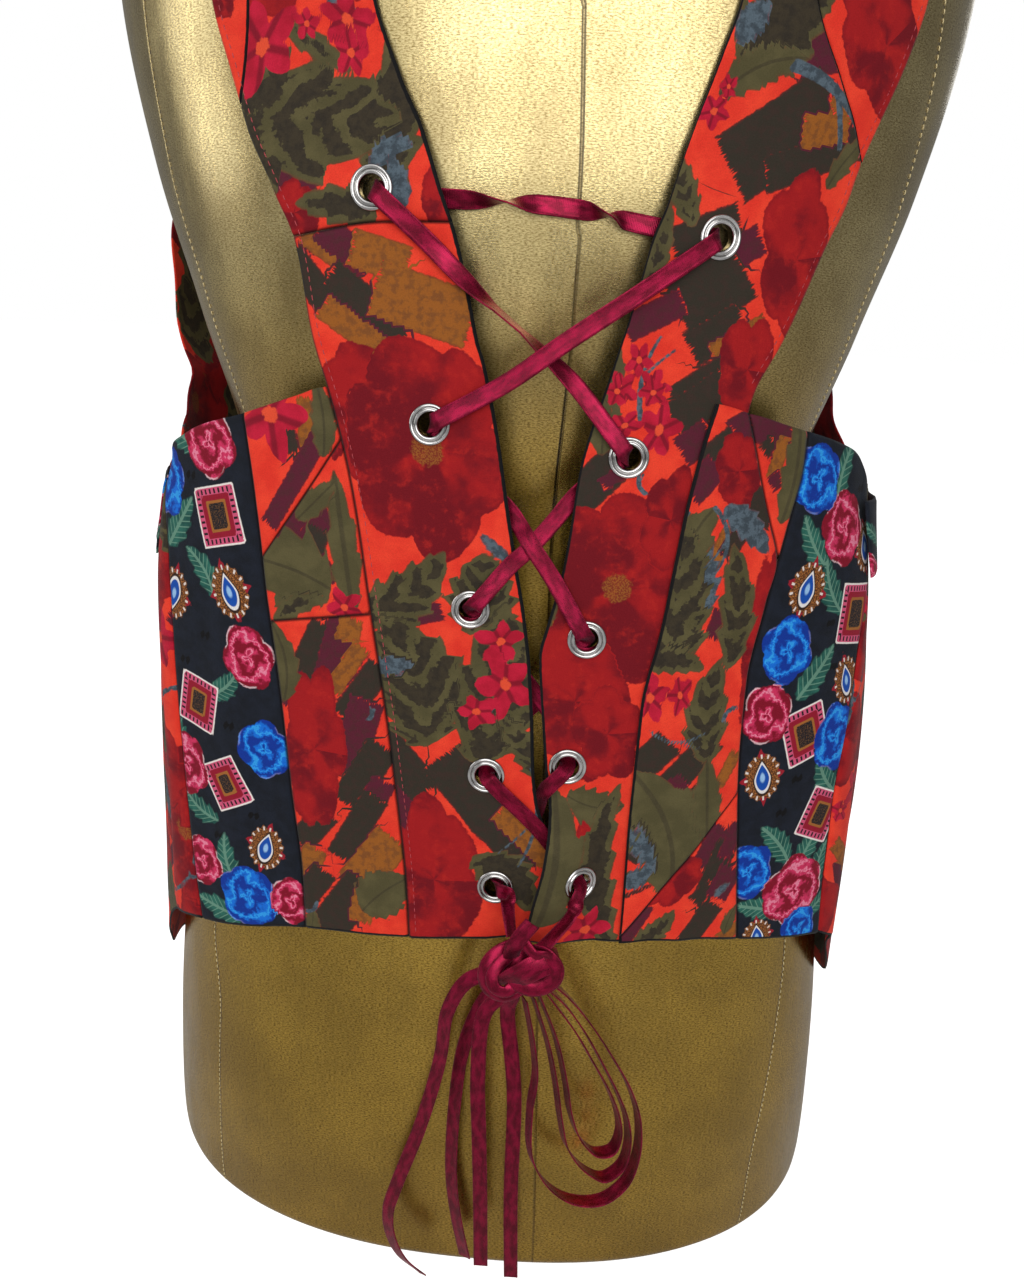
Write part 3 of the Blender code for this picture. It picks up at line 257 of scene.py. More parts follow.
def smooth(table, place):
    """Row values at a place, on monotone cubics through a table whose first column rises."""
    rows = np.asarray(table, float)
    x, y = rows[:, 0], rows[:, 1:]
    run = np.diff(x)[:, None]
    rate = np.diff(y, axis=0) / run
    before, after = rate[:-1], rate[1:]
    w1, w2 = 2 * run[1:] + run[:-1], run[1:] + 2 * run[:-1]
    same = before * after > 0
    safe_before, safe_after = np.where(same, before, 1.0), np.where(same, after, 1.0)
    slope = np.empty_like(y)
    slope[0], slope[-1] = rate[0], rate[-1]
    slope[1:-1] = np.where(same, (w1 + w2) / (w1 / safe_before + w2 / safe_after), 0.0)
    place = np.clip(np.asarray(place, float), x[0], x[-1])
    i = np.clip(np.searchsorted(x, place, side="right") - 1, 0, len(x) - 2)
    h = (x[i + 1] - x[i])[..., None]
    t = (place - x[i])[..., None] / h
    rise = 3 * t**2 - 2 * t**3
    return ((1 - rise) * y[i] + rise * y[i + 1]
            + h * ((t**3 - 2 * t**2 + t) * slope[i] + (t**3 - t**2) * slope[i + 1]))


def ease(low, high, value):
    """0 below low, 1 above high, and a smooth step between."""
    t = np.clip((value - low) / (high - low), 0.0, 1.0)
    return t * t * (3 - 2 * t)


def unit(vectors):
    return vectors / np.linalg.norm(vectors, axis=-1, keepdims=True)


def run_along(points):
    """Distance of each point of a line from its first."""
    steps = np.linalg.norm(np.diff(points, axis=0), axis=1)
    return np.concatenate([[0.0], np.cumsum(steps)])


def oval(middle, half_width, front, back, power, turn):
    """A point on a rounded section, at a turn in degrees from the centre front."""
    s, c = np.sin(np.radians(turn)), np.cos(np.radians(turn))
    depth = np.where(c > 0, front, back)
    x = middle + half_width * np.sign(s) * np.abs(s) ** (2 / power)
    y = -depth * np.sign(c) * np.abs(c) ** (2 / power)
    return x, y


def form_point(turn, height):
    row = np.moveaxis(smooth(FORM, height), -1, 0)
    x, y = oval(0.0, *row, turn)
    return np.stack([x, y, height + 0 * x], -1)


def hang_point(turn, height):
    """Free-hanging cloth, pulled in at its sides, pushed out where the form is in its way."""
    turn, height = np.broadcast_arrays(np.asarray(turn, float), height)
    middle, half_width, front, back, power = np.moveaxis(smooth(HANG, height), -1, 0)
    pull = np.moveaxis(smooth(PULLS, height), -1, 0)
    bearing = (turn + 180) % 360 - 180
    start, deep, behind = np.where(bearing < 0, pull[:3], pull[3:])
    away = np.abs(bearing)
    deep = deep + (behind - deep) * ease(74, 100, away)
    deep = deep * ease(0, PULL_SPAN, away - start)
    x, y = oval(middle, half_width - deep, front, back, power, turn)
    half_width, front, back, power = np.moveaxis(smooth(FORM, height), -1, 0)
    need = CLEAR + 0.6
    deep = np.where(y < 0, front, back) + need
    reach = (np.abs(x / (half_width + need)) ** power + np.abs(y / deep) ** power) ** (1 / power)
    sharp = 60.0
    push = 1 + np.logaddexp(0.0, (1 - reach) * sharp) / sharp
    return np.stack([x * push, y * push, height + 0 * x], -1)


def outward(surface, turn, height):
    """The surface's outward normal, by small steps each way."""
    along = surface(turn + 0.05, height) - surface(turn - 0.05, height)
    upward = surface(turn, height + 0.5) - surface(turn, height - 0.5)
    return unit(np.cross(along, upward))


def bare_cloth(turn, height):
    """The cloth's inner face: it lies on the form up high and hangs free below."""
    start = 475 - 45 * np.cos(np.radians(turn))
    lying = ease(start, start + 60, height)[..., None]
    behind = ease(0.0, 1.0, -np.cos(np.radians(turn)))
    clear = CLEAR + behind * (1.0 + 5.2 * ease(570, 650, height)) + 1.4 * ease(630, 690, height)
    on_form = form_point(turn, height) + clear[..., None] * outward(form_point, turn, height)
    return (1 - lying) * hang_point(turn, height) + lying * on_form


def cloth(turn, height, rise=0.0):
    """A point above the cloth's inner face, by a rise in millimetres."""
    turn, height, rise = np.broadcast_arrays(np.asarray(turn, float), height, rise)
    point = bare_cloth(turn, height)
    return point + rise[..., None] * outward(bare_cloth, turn, height)


def flat_rise(turn, height):
    return 0 * turn


def right_front_rise(turn, height):
    """The right front lies on the right band, and comes down beside it."""
    past = turn - smooth(RIGHT_FREE, height)[..., 0]
    return STACK * (1 - ease(7.0, 13.0, past))


def right_band_rise(turn, height):
    """Near the hem the right band's inner edge stands off, and slopes back past an eyelet."""
    low = 1 - ease(213, 238, height)
    end = 0.45 + 0.55 * ease(172, 195, height)
    slope, top, sharp = 9.4 * (10.9 - turn) / 4.6, 9.4, 3.0
    slope = np.logaddexp(0.0, slope * sharp) / sharp
    slope = top - np.logaddexp(0.0, (top - slope) * sharp) / sharp
    turned_in = 2.4 * ease(0.0, 2.6, 6.3 - turn)
    return low * end * (slope - turned_in)


def back_rise(turn, height):
    total = 0 * turn
    for fold in BACK_FOLDS:
        across = (turn - fold.turn) / fold.across
        along = (height - fold.height) / fold.along
        total = total + fold.rise * np.exp(-across**2 - along**2)
    return total


def seam(table, low, high):
    """A boundary that follows a seam from one height to another."""
    def at(t):
        height = low + (high - low) * t
        return np.stack([smooth(table, height)[..., 0], height], -1)
    return at


def shifted(table, turn):
    """A seam table moved round the body."""
    return [Mark(mark.height, mark.turn + turn) for mark in table]


def rim(table, first, last):
    """A boundary that follows an edge round the body from one turn to another."""
    def at(t):
        turn = first + (last - first) * t
        return np.stack([turn, smooth(table, turn)[..., 0]], -1)
    return at


def through(points, even=False):
    """A boundary through listed places; even gives each stretch the same share of it."""
    rows = np.asarray(points, float)
    scale = np.array([2.6, 1.0])
    steps = np.linalg.norm(np.diff(rows * scale, axis=0), axis=1)
    steps = np.ones_like(steps) if even else steps
    place = np.concatenate([[0.0], np.cumsum(steps)]) / steps.sum()

    def at(t):
        return smooth(np.column_stack([place, rows]), t)
    return at


def joined(first, second, share):
    """One boundary after another; share is where the second starts."""
    def at(t):
        a = first(np.clip(t / share, 0, 1))
        b = second(np.clip((t - share) / (1 - share), 0, 1))
        return np.where((t < share)[..., None], a, b)
    return at


def patch(left, right, bottom, top, columns, rows):
    """Places filling four boundaries, as a grid of turn and height."""
    u, v = np.meshgrid(columns, rows)
    u, v = u[..., None], v[..., None]
    lo, hi = bottom(columns)[None], top(columns)[None]
    le, ri = left(rows)[:, None], right(rows)[:, None]
    corners = ((1 - u) * (1 - v) * lo[:, :1] + u * (1 - v) * lo[:, -1:]
               + (1 - u) * v * hi[:, :1] + u * v * hi[:, -1:])
    grid = (1 - v) * lo + v * hi + (1 - u) * le + u * ri - corners
    return grid[..., 0], grid[..., 1]


def edge_trimmed(points):
    """A grid of points with each edge drawn in from its seam."""
    for axis in (0, 1):
        p = np.swapaxes(points, 0, axis)
        for edge, inside in ((0, 1), (-1, -2)):
            along = unit(np.gradient(p[edge], axis=0))
            inward = p[inside] - p[edge]
            inward = inward - along * np.sum(inward * along, axis=1, keepdims=True)
            p[edge] += unit(inward) * SEAM_TRIM
    return points


# Material graphs, written as expressions

class Value:
    """A number that nodes work out, so that sums of numbers read as sums."""

    def __init__(self, graph, socket):
        self.graph = graph
        self.socket = socket

    def __add__(self, other):
        return self.graph.math("ADD", self, other)

    def __sub__(self, other):
        return self.graph.math("ADD", self, -other)

    def __mul__(self, other):
        return self.graph.math("MULTIPLY", self, other)

    def __neg__(self):
        return self * -1.0

    def __abs__(self):
        return self.graph.math("ABSOLUTE", self)


class Graph:
    """The node tree of one material or of the world."""

    def __init__(self, name, store=bpy.data.materials, last="Principled BSDF"):
        self.owner = store.new(name)
        self.owner.use_nodes = True
        self.tree = self.owner.node_tree
        self.shader = self.tree.nodes[last]

    def node(self, kind, output, settings, inputs):
        made = self.tree.nodes.new(kind)
        for key, value in settings.items():
            setattr(made, key, value)
        for key, value in inputs.items():
            self.feed(made.inputs[key], value)
        return Value(self, made.outputs[output])

    def feed(self, socket, value):
        if isinstance(value, Value):
            self.tree.links.new(value.socket, socket)
        elif value is not None:
            socket.default_value = value

    def math(self, operation, first, second=None):
        return self.node("ShaderNodeMath", 0, {"operation": operation}, {0: first, 1: second})

    def ramp(self, value, low, high, start=0.0, end=1.0):
        """A smooth step from start to end as the value goes from low to high."""
        return self.node("ShaderNodeMapRange", 0, {"interpolation_type": "SMOOTHSTEP"}, {
            "Value": value, "From Min": low, "From Max": high, "To Min": start, "To Max": end})

    def mix(self, share, first, second):
        return self.node("ShaderNodeMix", 2, {"data_type": "RGBA"}, {0: share, 6: first, 7: second})

    def parts(self, vector):
        """The three numbers of a place."""
        first = self.node("ShaderNodeSeparateXYZ", 0, {}, {0: vector})
        return [Value(self, output) for output in first.socket.node.outputs]

    def held(self, name):
        """The three numbers that the mesh holds under a name."""
        return self.parts(self.node("ShaderNodeAttribute", "Vector", {"attribute_name": name}, {}))

    def place(self, kind):
        """A point's own place, on the piece or in the world."""
        return self.node("ShaderNodeTexCoord", kind, {}, {})

    def point(self, x, y, z=0.0):
        return self.node("ShaderNodeCombineXYZ", 0, {}, {0: x, 1: y, 2: z})

    def noise(self, place, scale, detail=2.0, rough=0.5):
        return self.node("ShaderNodeTexNoise", 0, {}, {
            "Vector": place, "Scale": scale, "Detail": detail, "Roughness": rough})

    def bump(self, height, distance, strength=1.0, under=None):
        return self.node("ShaderNodeBump", 0, {}, {
            "Height": height, "Distance": distance * MM, "Strength": strength, "Normal": under})

    def finish(self, **values):
        for key, value in values.items():
            self.feed(self.shader.inputs[key.replace("_", " ")], value)
        return self.owner


def ink(red, green, blue):
    """A colour read off a screen, 0 to 255, as the shader wants it."""
    value = np.array([red, green, blue]) / 255.0
    value = np.where(value <= 0.04045, value / 12.92, ((value + 0.055) / 1.055) ** 2.4)
    return (*value.tolist(), 1.0)


def inside(g, distance, ragged, amount, soft=0.22):
    """1 inside an outline and 0 outside it, with an edge that wanders."""
    edge = distance + ragged * amount
    return g.ramp(edge, -soft, soft, 1.0, 0.0)


def polar(g, x, y):
    """Angle and reach of a place from a motif's middle."""
    reach = g.math("SQRT", x * x + y * y)
    return g.math("ARCTAN2", y, x), reach


def woven(g, x, y, pitch):
    """The up and down of a plain weave."""
    threads = g.math("SINE", x * (2 * math.pi / pitch))
    rows = g.math("SINE", y * (2 * math.pi / pitch))
    return threads * rows


def cloth_finish(g, colour, place, seam):
    """Weave, seam shadow and the black lining edge over a printed colour."""
    x, y = place
    weave = woven(g, x, y, 0.42)
    fleck = g.noise(g.point(x, y), 2.3, 3.0, 0.65)
    colour = g.mix(g.ramp(fleck, 0.35, 0.75, 0.0, 0.2), colour, ink(20, 8, 8))
    colour = g.mix(g.ramp(seam[0], 0.1, 0.95, 0.8, 0.0), colour, ink(10, 5, 5))
    wander = g.noise(g.point(x, y), 0.4, 2.0)
    edge = seam[1] + (wander - 0.5) * 0.5
    colour = g.mix(g.ramp(edge, 1.1, 1.3, 1.0, 0.0), colour, ink(14, 13, 15))
    worn = g.noise(g.point(x, y), 0.09, 4.0, 0.6)
    normal = g.bump(weave, 0.05, 0.35)
    normal = g.bump(worn, 1.2, 0.35, normal)
    rough = g.ramp(fleck, 0.2, 0.8, 0.74, 0.9)
    return g.finish(Base_Color=colour, Roughness=rough, Normal=normal, Sheen_Weight=0.06,
                    Sheen_Roughness=0.4, Specular_IOR_Level=0.2)


def scarlet_cloth():
    """Large watercolour blooms, serrated leaves and broad brush bars on vermilion."""
    g = Graph("scarlet_print_cloth")
    x, y, stem = g.held("where")
    place = g.point(x, y)
    bar_x, bar_end, bar_side = g.held("ink_bars")
    leaf_x, leaf_y, leaf = g.held("ink_leaves")
    bloom_x, bloom_y, bloom = g.held("ink_blooms")
    flower_x, flower_y, flower = g.held("ink_flowers")
    bar_tone, leaf_tone, bloom_tone = g.held("ink_tones")
    fine = g.noise(place, 0.55, 3.0, 0.6) - 0.5
    wash = g.noise(place, 0.1, 4.0, 0.6)
    blot = g.noise(place, 0.33, 3.0, 0.65)
    speck = g.noise(place, 1.5, 2.0, 0.7)

    ground = g.mix(g.ramp(wash, 0.35, 0.7), ink(222, 50, 34), ink(236, 66, 42))
    bristle = g.noise(g.point(bar_x * 0.9, bar_end * 0.1), 1.0, 3.0, 0.7)
    ragged = bar_end + (bristle - 0.45) * 7.0
    shape = g.math("MAXIMUM", ragged, bar_side + fine * 1.6)
    tone = g.mix(g.ramp(bar_tone, 0.45, 0.55), ink(50, 44, 35), ink(88, 26, 44))
    tone = g.mix(g.ramp(bar_tone, 1.45, 1.55), tone, ink(150, 88, 30))
    tone = g.mix(g.ramp(blot, 0.45, 0.62, 0.0, 0.4), tone, ink(66, 40, 36))
    tone = g.mix(g.ramp(bar_tone, 2.45, 2.55), tone, ground)
    fringe = g.ramp(shape, -0.9, -0.1, 0.0, 0.45)
    tone = g.mix(fringe, tone, ink(120, 24, 28))
    colour = g.mix(g.ramp(shape, -0.25, 0.25, 1.0, 0.0), ground, tone)

    angle, reach = polar(g, bloom_x, bloom_y)
    petals = g.noise(g.point(angle * 0.6, reach * 0.8, bloom_tone), 1.3, 2.0, 0.45)
    red = g.mix(g.ramp(petals + (wash - 0.5) * 0.5, 0.38, 0.6), ink(112, 8, 22), ink(160, 20, 24))
    red = g.mix(g.ramp(blot + wash, 1.0, 1.35, 0.0, 0.6), red, ink(184, 34, 28))
    red = g.mix(g.ramp(bloom, -1.6, -0.2, 0.0, 0.4), red, ink(118, 8, 22))
    heart = g.ramp(reach + fine * 0.12, 0.13, 0.17, 1.0, 0.0) * bloom_tone
    ochre = g.mix(g.ramp(speck, 0.45, 0.55), ink(150, 92, 34), ink(120, 44, 26))
    red = g.mix(heart * 0.85, red, ochre)
    colour = g.mix(inside(g, bloom, fine, 1.8), colour, red)

    olive = g.mix(g.ramp(wash, 0.4, 0.65), ink(78, 72, 44), ink(90, 83, 52))
    dark = g.mix(g.ramp(blot, 0.4, 0.65), ink(58, 50, 36), ink(46, 40, 31))
    side = abs(leaf_x)
    rise = leaf_y + 1.0 + side * -1.1
    sway = fine * 0.08 + (wash - 0.5) * 0.4
    slope = g.math("FRACT", (rise + sway) * 4.2)
    vein = abs(slope - 0.5)
    width = vein + fine * 0.16
    fingers = inside(g, leaf + 1.8, fine, 2.0) * g.ramp(width, 0.27, 0.33, 1.0, 0.0)
    spine = g.ramp(side + fine * 0.01, 0.012, 0.022, 1.0, 0.0)
    green = g.mix(spine * 0.5, olive, dark)
    fingered = g.mix(fingers, olive, dark)
    deep = g.mix(inside(g, leaf + 2.2, fine, 3.0), olive, dark)
    grey = g.mix(g.ramp(blot, 0.42, 0.58), ink(84, 98, 108), ink(60, 70, 78))
    leaf_ink = g.mix(g.ramp(leaf_tone, 0.45, 0.55), green, fingered)
    leaf_ink = g.mix(g.ramp(leaf_tone, 1.45, 1.55), leaf_ink, deep)
    leaf_ink = g.mix(g.ramp(leaf_tone, 2.45, 2.55), leaf_ink, grey)
    leaf_ink = g.mix(g.ramp(leaf, -0.8, -0.1, 0.0, 0.3), leaf_ink, ink(120, 40, 30))
    colour = g.mix(inside(g, leaf, fine, 1.0), colour, leaf_ink)
    colour = g.mix(inside(g, stem, fine, 0.9), colour, grey)

    angle, reach = polar(g, flower_x, flower_y)
    share = abs(g.math("FRACT", angle * (5 / (2 * math.pi))) - 0.5)
    crimson = g.mix(g.ramp(wash, 0.35, 0.65), ink(168, 14, 42), ink(196, 24, 56))
    crimson = g.mix(g.ramp(share * reach, 0.03, 0.1, 0.75, 0.0), crimson, ink(112, 8, 30))
    core = g.ramp(reach + fine * 0.25, 0.16, 0.22, 1.0, 0.0)
    crimson = g.mix(core, crimson, ink(224, 76, 46))
    colour = g.mix(inside(g, flower, fine, 1.2), colour, crimson)
    return cloth_finish(g, colour, (x, y), g.held("seam"))


def navy_cloth():
    """Roses, leaves, drops and tilted squares on dark navy."""
    g = Graph("navy_print_cloth")
    x, y, lozenge = g.held("where")
    place = g.point(x, y)
    tile_x, tile_y, tile = g.held("ink_bars")
    leaf_x, leaf_y, leaf = g.held("ink_leaves")
    rose_x, rose_y, rose = g.held("ink_blooms")
    drop_x, drop_y, drop = g.held("ink_flowers")
    kind = g.held("ink_tones")[2]
    fine = g.noise(place, 0.6, 3.0, 0.6) - 0.5
    wash = g.noise(place, 0.16, 4.0, 0.6)
    speck = g.noise(place, 1.6, 2.0, 0.7)
    colour = g.mix(g.ramp(wash, 0.35, 0.65), ink(16, 21, 30), ink(22, 28, 40))
    colour = g.mix(g.ramp(lozenge, -0.15, 0.15, 1.0, 0.0), colour, ink(4, 4, 6))

    teal = g.mix(g.ramp(wash, 0.35, 0.65), ink(26, 76, 68), ink(44, 104, 90))
    side = abs(leaf_x)
    rise = leaf_y + 1.0 + side * -0.9
    slope = abs(g.math("FRACT", rise * 9.0) - 0.5)
    veins = g.math("MAXIMUM", g.ramp(slope, 0.36, 0.44), g.ramp(side, 0.02, 0.035, 1.0, 0.0))
    teal = g.mix(veins * 0.65, teal, ink(118, 158, 136))
    teal = g.mix(g.ramp(leaf, -0.7, -0.1, 0.0, 0.7), teal, ink(18, 52, 50))
    colour = g.mix(inside(g, leaf, fine, 0.9), colour, teal)

    across, along = abs(tile_x), abs(tile_y)
    upright = g.math("GREATER_THAN", across, along)
    run = upright * tile_y + (-upright + 1.0) * tile_x
    tick = g.ramp(g.math("SINE", run * (2 * math.pi / 2.1)), 0.1, 0.5)
    border = g.mix(g.ramp(tile, -0.75, -0.6), ink(206, 84, 118), ink(232, 222, 216))
    ticked = tick * (g.ramp(tile, -3.0, -2.8) * g.ramp(tile, -1.2, -1.0, 1.0, 0.0))
    border = g.mix(ticked, border, ink(22, 18, 22))
    face = g.mix(g.ramp(tile, -3.3, -3.1), ink(146, 18, 42), border)
    face = g.mix(g.ramp(tile, -5.4, -5.2), ink(160, 98, 44), face)
    centre = g.mix(g.ramp(speck, 0.5, 0.58), ink(22, 22, 30), ink(96, 66, 40))
    face = g.mix(g.ramp(tile, -6.4, -6.2), centre, face)
    colour = g.mix(inside(g, tile, fine, 0.3, 0.15), colour, face)

    angle, reach = polar(g, drop_x, drop_y)
    ring = g.math("COSINE", angle * 16.0)
    beads = g.ramp(ring, 0.55, 0.8) * g.ramp(abs(reach - 0.72), 0.05, 0.09, 1.0, 0.0)
    tips = g.ramp(g.math("COSINE", angle * 4.0), 0.55, 0.8)
    frill = g.mix(g.ramp(speck, 0.42, 0.52), ink(168, 106, 50), ink(84, 46, 24))
    frill = g.mix(tips * g.ramp(reach, 0.66, 0.74), frill, ink(150, 24, 40))
    frill = g.mix(beads, frill, ink(224, 212, 204))
    point_up = g.ramp(drop_y, -0.1, 0.55) * abs(drop_x)
    gem = g.math("SQRT", drop_x * drop_x * 1.9 + drop_y * drop_y * 0.8) + point_up
    jewel = g.mix(g.ramp(gem, 0.38, 0.42), ink(14, 74, 164), ink(226, 222, 220))
    jewel = g.mix(g.ramp(gem, 0.1, 0.2, 1.0, 0.0), jewel, ink(150, 190, 230))
    frill = g.mix(g.ramp(gem, 0.48, 0.52, 1.0, 0.0), frill, jewel)
    frill = g.mix(g.ramp(abs(gem - 0.54), 0.02, 0.05, 0.9, 0.0), frill, ink(24, 18, 18))
    colour = g.mix(inside(g, drop, fine, 0.8, 0.15), colour, frill)

    angle, reach = polar(g, rose_x, rose_y)
    turned = angle + reach * 2.6
    petals = g.math("SINE", turned * 3.0 + fine * 2.5)
    ruffle = petals * 1.3 + (wash - 0.5) * 7.0
    rings = g.math("SINE", reach * 12.0 + (ruffle + fine * 5.0))
    pink = g.mix(g.ramp(rings, -0.7, 0.6), ink(128, 6, 34), ink(206, 48, 92))
    pink = g.mix(g.ramp(rings, 0.8, 0.98, 0.0, 0.7), pink, ink(236, 150, 174))
    blue = g.mix(g.ramp(rings, -0.7, 0.6), ink(4, 50, 146), ink(14, 108, 212))
    blue = g.mix(g.ramp(rings, 0.8, 0.98, 0.0, 0.7), blue, ink(54, 170, 236))
    bloom = g.mix(g.ramp(kind, 0.45, 0.55), pink, blue)
    white = g.ramp(rose, -0.8, -0.3) * g.ramp(petals + fine, 0.4, 0.8)
    bloom = g.mix(white * g.ramp(kind, 0.3, 0.7, 0.6, 0.15), bloom, ink(236, 222, 224))
    colour = g.mix(inside(g, rose, fine, 1.2), colour, bloom)
    return cloth_finish(g, colour, (x, y), g.held("seam"))


def lining_cloth():
    """Plain black lining."""
    g = Graph("black_lining")
    x, y, _ = g.held("where")
    fleck = g.noise(g.point(x, y), 1.6, 3.0, 0.6)
    weave = woven(g, x, y, 0.5)
    colour = g.mix(g.ramp(fleck, 0.3, 0.7), ink(14, 13, 15), ink(26, 24, 27))
    return g.finish(Base_Color=colour, Roughness=g.ramp(fleck, 0.2, 0.8, 0.6, 0.8),
                    Normal=g.bump(weave, 0.06, 0.5))


def gold_leather():
    """Leathercloth with a fine grain that runs round the body, a metal sheen and seam ridges."""
    g = Graph("gold_leathercloth")
    x, y, seam = g.held("where")
    grain = g.noise(g.point(x * 0.38, y), 2.3, 3.0, 0.7)
    rub = g.noise(g.point(x, y * 0.3), 0.06, 4.0, 0.7)
    worn = g.noise(g.point(x, y), 0.02, 4.0, 0.6)
    # Painted highlight: both grain colours turn paler and less saturated higher up, so the chest looks
    # lit.
    dark = g.mix(g.ramp(y, 330, 450), ink(106, 80, 22), ink(134, 114, 66))
    pale = g.mix(g.ramp(y, 330, 450), ink(206, 168, 72), ink(214, 196, 142))
    colour = g.mix(g.ramp(grain, 0.32, 0.62), dark, pale)
    colour = g.mix(g.ramp(worn, 0.35, 0.65, 0.0, 0.34), colour, ink(104, 80, 32))
    away = abs(seam)
    # Painted shade in the seam grooves: the colour darkens towards each seam line.
    colour = g.mix(g.ramp(away, 0.15, 0.9, 0.5, 0.0), colour, ink(74, 54, 24))
    rough = g.ramp(grain, 0.3, 0.7, 0.33, 0.23) + g.ramp(rub, 0.35, 0.65, -0.05, 0.07)
    ridge = g.ramp(away, 0.0, 1.1)
    normal = g.bump(ridge, 0.35, 0.8)
    normal = g.bump(grain, 0.1, 0.6, normal)
    return g.finish(Base_Color=colour, Roughness=rough, Normal=normal, Metallic=0.97,
                    Coat_Weight=0.25, Coat_Roughness=0.2, Coat_IOR=1.6)


def satin_ribbon():
    """Crosswise ribbed satin with a stitched line beside each edge."""
    g = Graph("satin_ribbon")
    along, across, _ = g.held("where")
    ribs = g.math("SINE", along * (2 * math.pi / 0.55))
    # Painted sheen: streaks along the ribbon, lighter and darker, stand in for the satin's gleam.
    painted_sheen = g.noise(g.point(along * 0.16, across * 0.4), 1.0, 3.0, 0.55)
    speck = g.noise(g.point(along, across), 2.0, 3.0, 0.7)
    side = abs(across)
    colour = g.mix(g.ramp(painted_sheen, 0.35, 0.65), ink(100, 4, 32), ink(150, 14, 56))
    colour = g.mix(g.ramp(speck, 0.5, 0.75, 0.0, 0.22), colour, ink(180, 44, 84))
    line = g.ramp(side, 2.3, 2.4) * g.ramp(side, 2.5, 2.6, 1.0, 0.0)
    dash = g.ramp(g.math("SINE", along * (2 * math.pi / 1.5)), -0.3, 0.1)
    colour = g.mix(line * (dash * 0.6), colour, ink(70, 0, 22))
    normal = g.bump(ribs, 0.04, 0.5)
    normal = g.bump(-line, 0.2, 0.7, normal)
    rough = g.ramp(speck, 0.3, 0.7, 0.24, 0.36)
    return g.finish(Base_Color=colour, Roughness=rough, Normal=normal, Metallic=0.8, Anisotropic=0.5,
                    Specular_IOR_Level=0.5, Sheen_Weight=0.12, Sheen_Roughness=0.35,
                    Sheen_Tint=(1.0, 0.45, 0.62, 1.0))


def nickel():
    """Polished nickel with the faint rub of handling."""
    g = Graph("polished_nickel")
    place = g.place("Object")
    rub = g.noise(place, 900.0, 3.0, 0.6)
    smear = g.noise(place, 160.0, 2.0)
    rough = g.ramp(rub, 0.35, 0.7, 0.07, 0.16) + g.ramp(smear, 0.4, 0.7, 0.0, 0.06)
    colour = g.mix(g.ramp(smear, 0.3, 0.7), ink(176, 174, 172), ink(204, 202, 200))
    return g.finish(Base_Color=colour, Roughness=rough, Metallic=1.0, Normal=g.bump(rub, 0.01, 0.3))


def thread(name, colour):
    """Sewing thread with its twist."""
    g = Graph(name)
    place = g.place("Object")
    twist = g.noise(place, 2600.0, 2.0)
    shade = g.mix(g.ramp(twist, 0.35, 0.65), ink(*[0.72 * c for c in colour]), ink(*colour))
    return g.finish(Base_Color=shade, Roughness=g.ramp(twist, 0.3, 0.7, 0.5, 0.7),
                    Normal=g.bump(twist, 0.06, 0.6))


# Print motifs. Each is drawn on its own grid, in millimetres, growing towards +y. It gives two
# places for the material to work from, and the distance to its outline, less than 0 inside it.

FAR = 60.0


def wobble(angle, seed, sizes):
    """A round outline's own unevenness."""
    source = np.random.default_rng(seed)
    total = 0 * angle
    for turns, size in sizes:
        total = total + size * np.cos(turns * angle + source.uniform(0, 2 * np.pi))
    return total


def round_grid(x, y, long, wide):
    """Shares of a motif's width and length, with their angle and reach."""
    across, along = 2 * x / wide, 2 * y / long
    return across, along, np.arctan2(along, across), np.hypot(along, across)


def draw_bloom(x, y, long, wide, seed):
    """A large open bloom with soft lobes."""
    _, along, angle, reach = round_grid(x, y, long, wide)
    lobes = np.abs(np.cos((4 + seed % 3) * angle / 2 + seed)) ** 0.6
    edge = 0.82 + 0.2 * lobes + wobble(angle, seed, ((2, 0.05), (5, 0.035), (9, 0.02)))
    return 2 * x / long, along, (reach - edge) * min(long, wide) / 2


def draw_flower(x, y, long, wide, seed):
    """A small flower with pointed petals."""
    across, along, angle, reach = round_grid(x, y, long, wide)
    share = np.abs(((angle + seed) * 5 / (2 * np.pi)) % 1 - 0.5) * 2
    edge = (0.45 + 0.62 * (1 - share) ** 0.75) * (1 + wobble(angle, seed, ((3, 0.07), (8, 0.05))))
    return across, along, (reach - edge) * min(long, wide) * 0.4


def draw_leaf(x, y, long, wide, seed):
    """A serrated leaf."""
    t = np.clip(y / long + 0.5, 0, 1)
    bend = 0.12 * (seed % 5 - 2) / 2
    x = x - bend * long * (4 * (t - 0.5) ** 2 - 0.5)
    teeth = (t * (4 + seed % 3) + 0.35 * np.sign(x)) % 1
    half = wide / 2 * np.sin(np.pi * t**0.8) ** 0.7 * (0.74 + 0.36 * teeth**1.3)
    outline = np.maximum(np.abs(x) - half, np.abs(y) - long / 2)
    return x / long, y / long, outline * 0.85


def draw_bar(x, y, long, wide, seed):
    """A broad brush bar; the material makes its ends ragged."""
    end, side = np.abs(y) - long / 2, np.abs(x) - wide / 2
    return x + seed % 7, end, side


def draw_stem(x, y, long, wide, seed):
    """A thin curved stroke with a side shoot."""
    line = 0.1 * (seed % 5 - 2) * long * ((2 * y / long) ** 2 - 0.5)
    main = np.maximum(np.abs(x - line) - wide * (0.4 - 0.3 * y / long), np.abs(y) - long / 2)
    shoot = np.maximum(np.abs(x - 0.6 * y - line) - 0.3 * wide, np.abs(y - 0.2 * long) - 0.2 * long)
    return 0 * x, 0 * x, np.minimum(main, shoot)


def draw_lozenges(x, y, long, wide, seed):
    """A pair of small leaning diamonds."""
    one, two = (np.abs(x - 0.25 * y + step * wide / 4) / wide * 4 + np.abs(y) / long * 2 - 1
                for step in (-1, 1))
    return 0 * x, 0 * x, np.minimum(one, two) * wide / 5


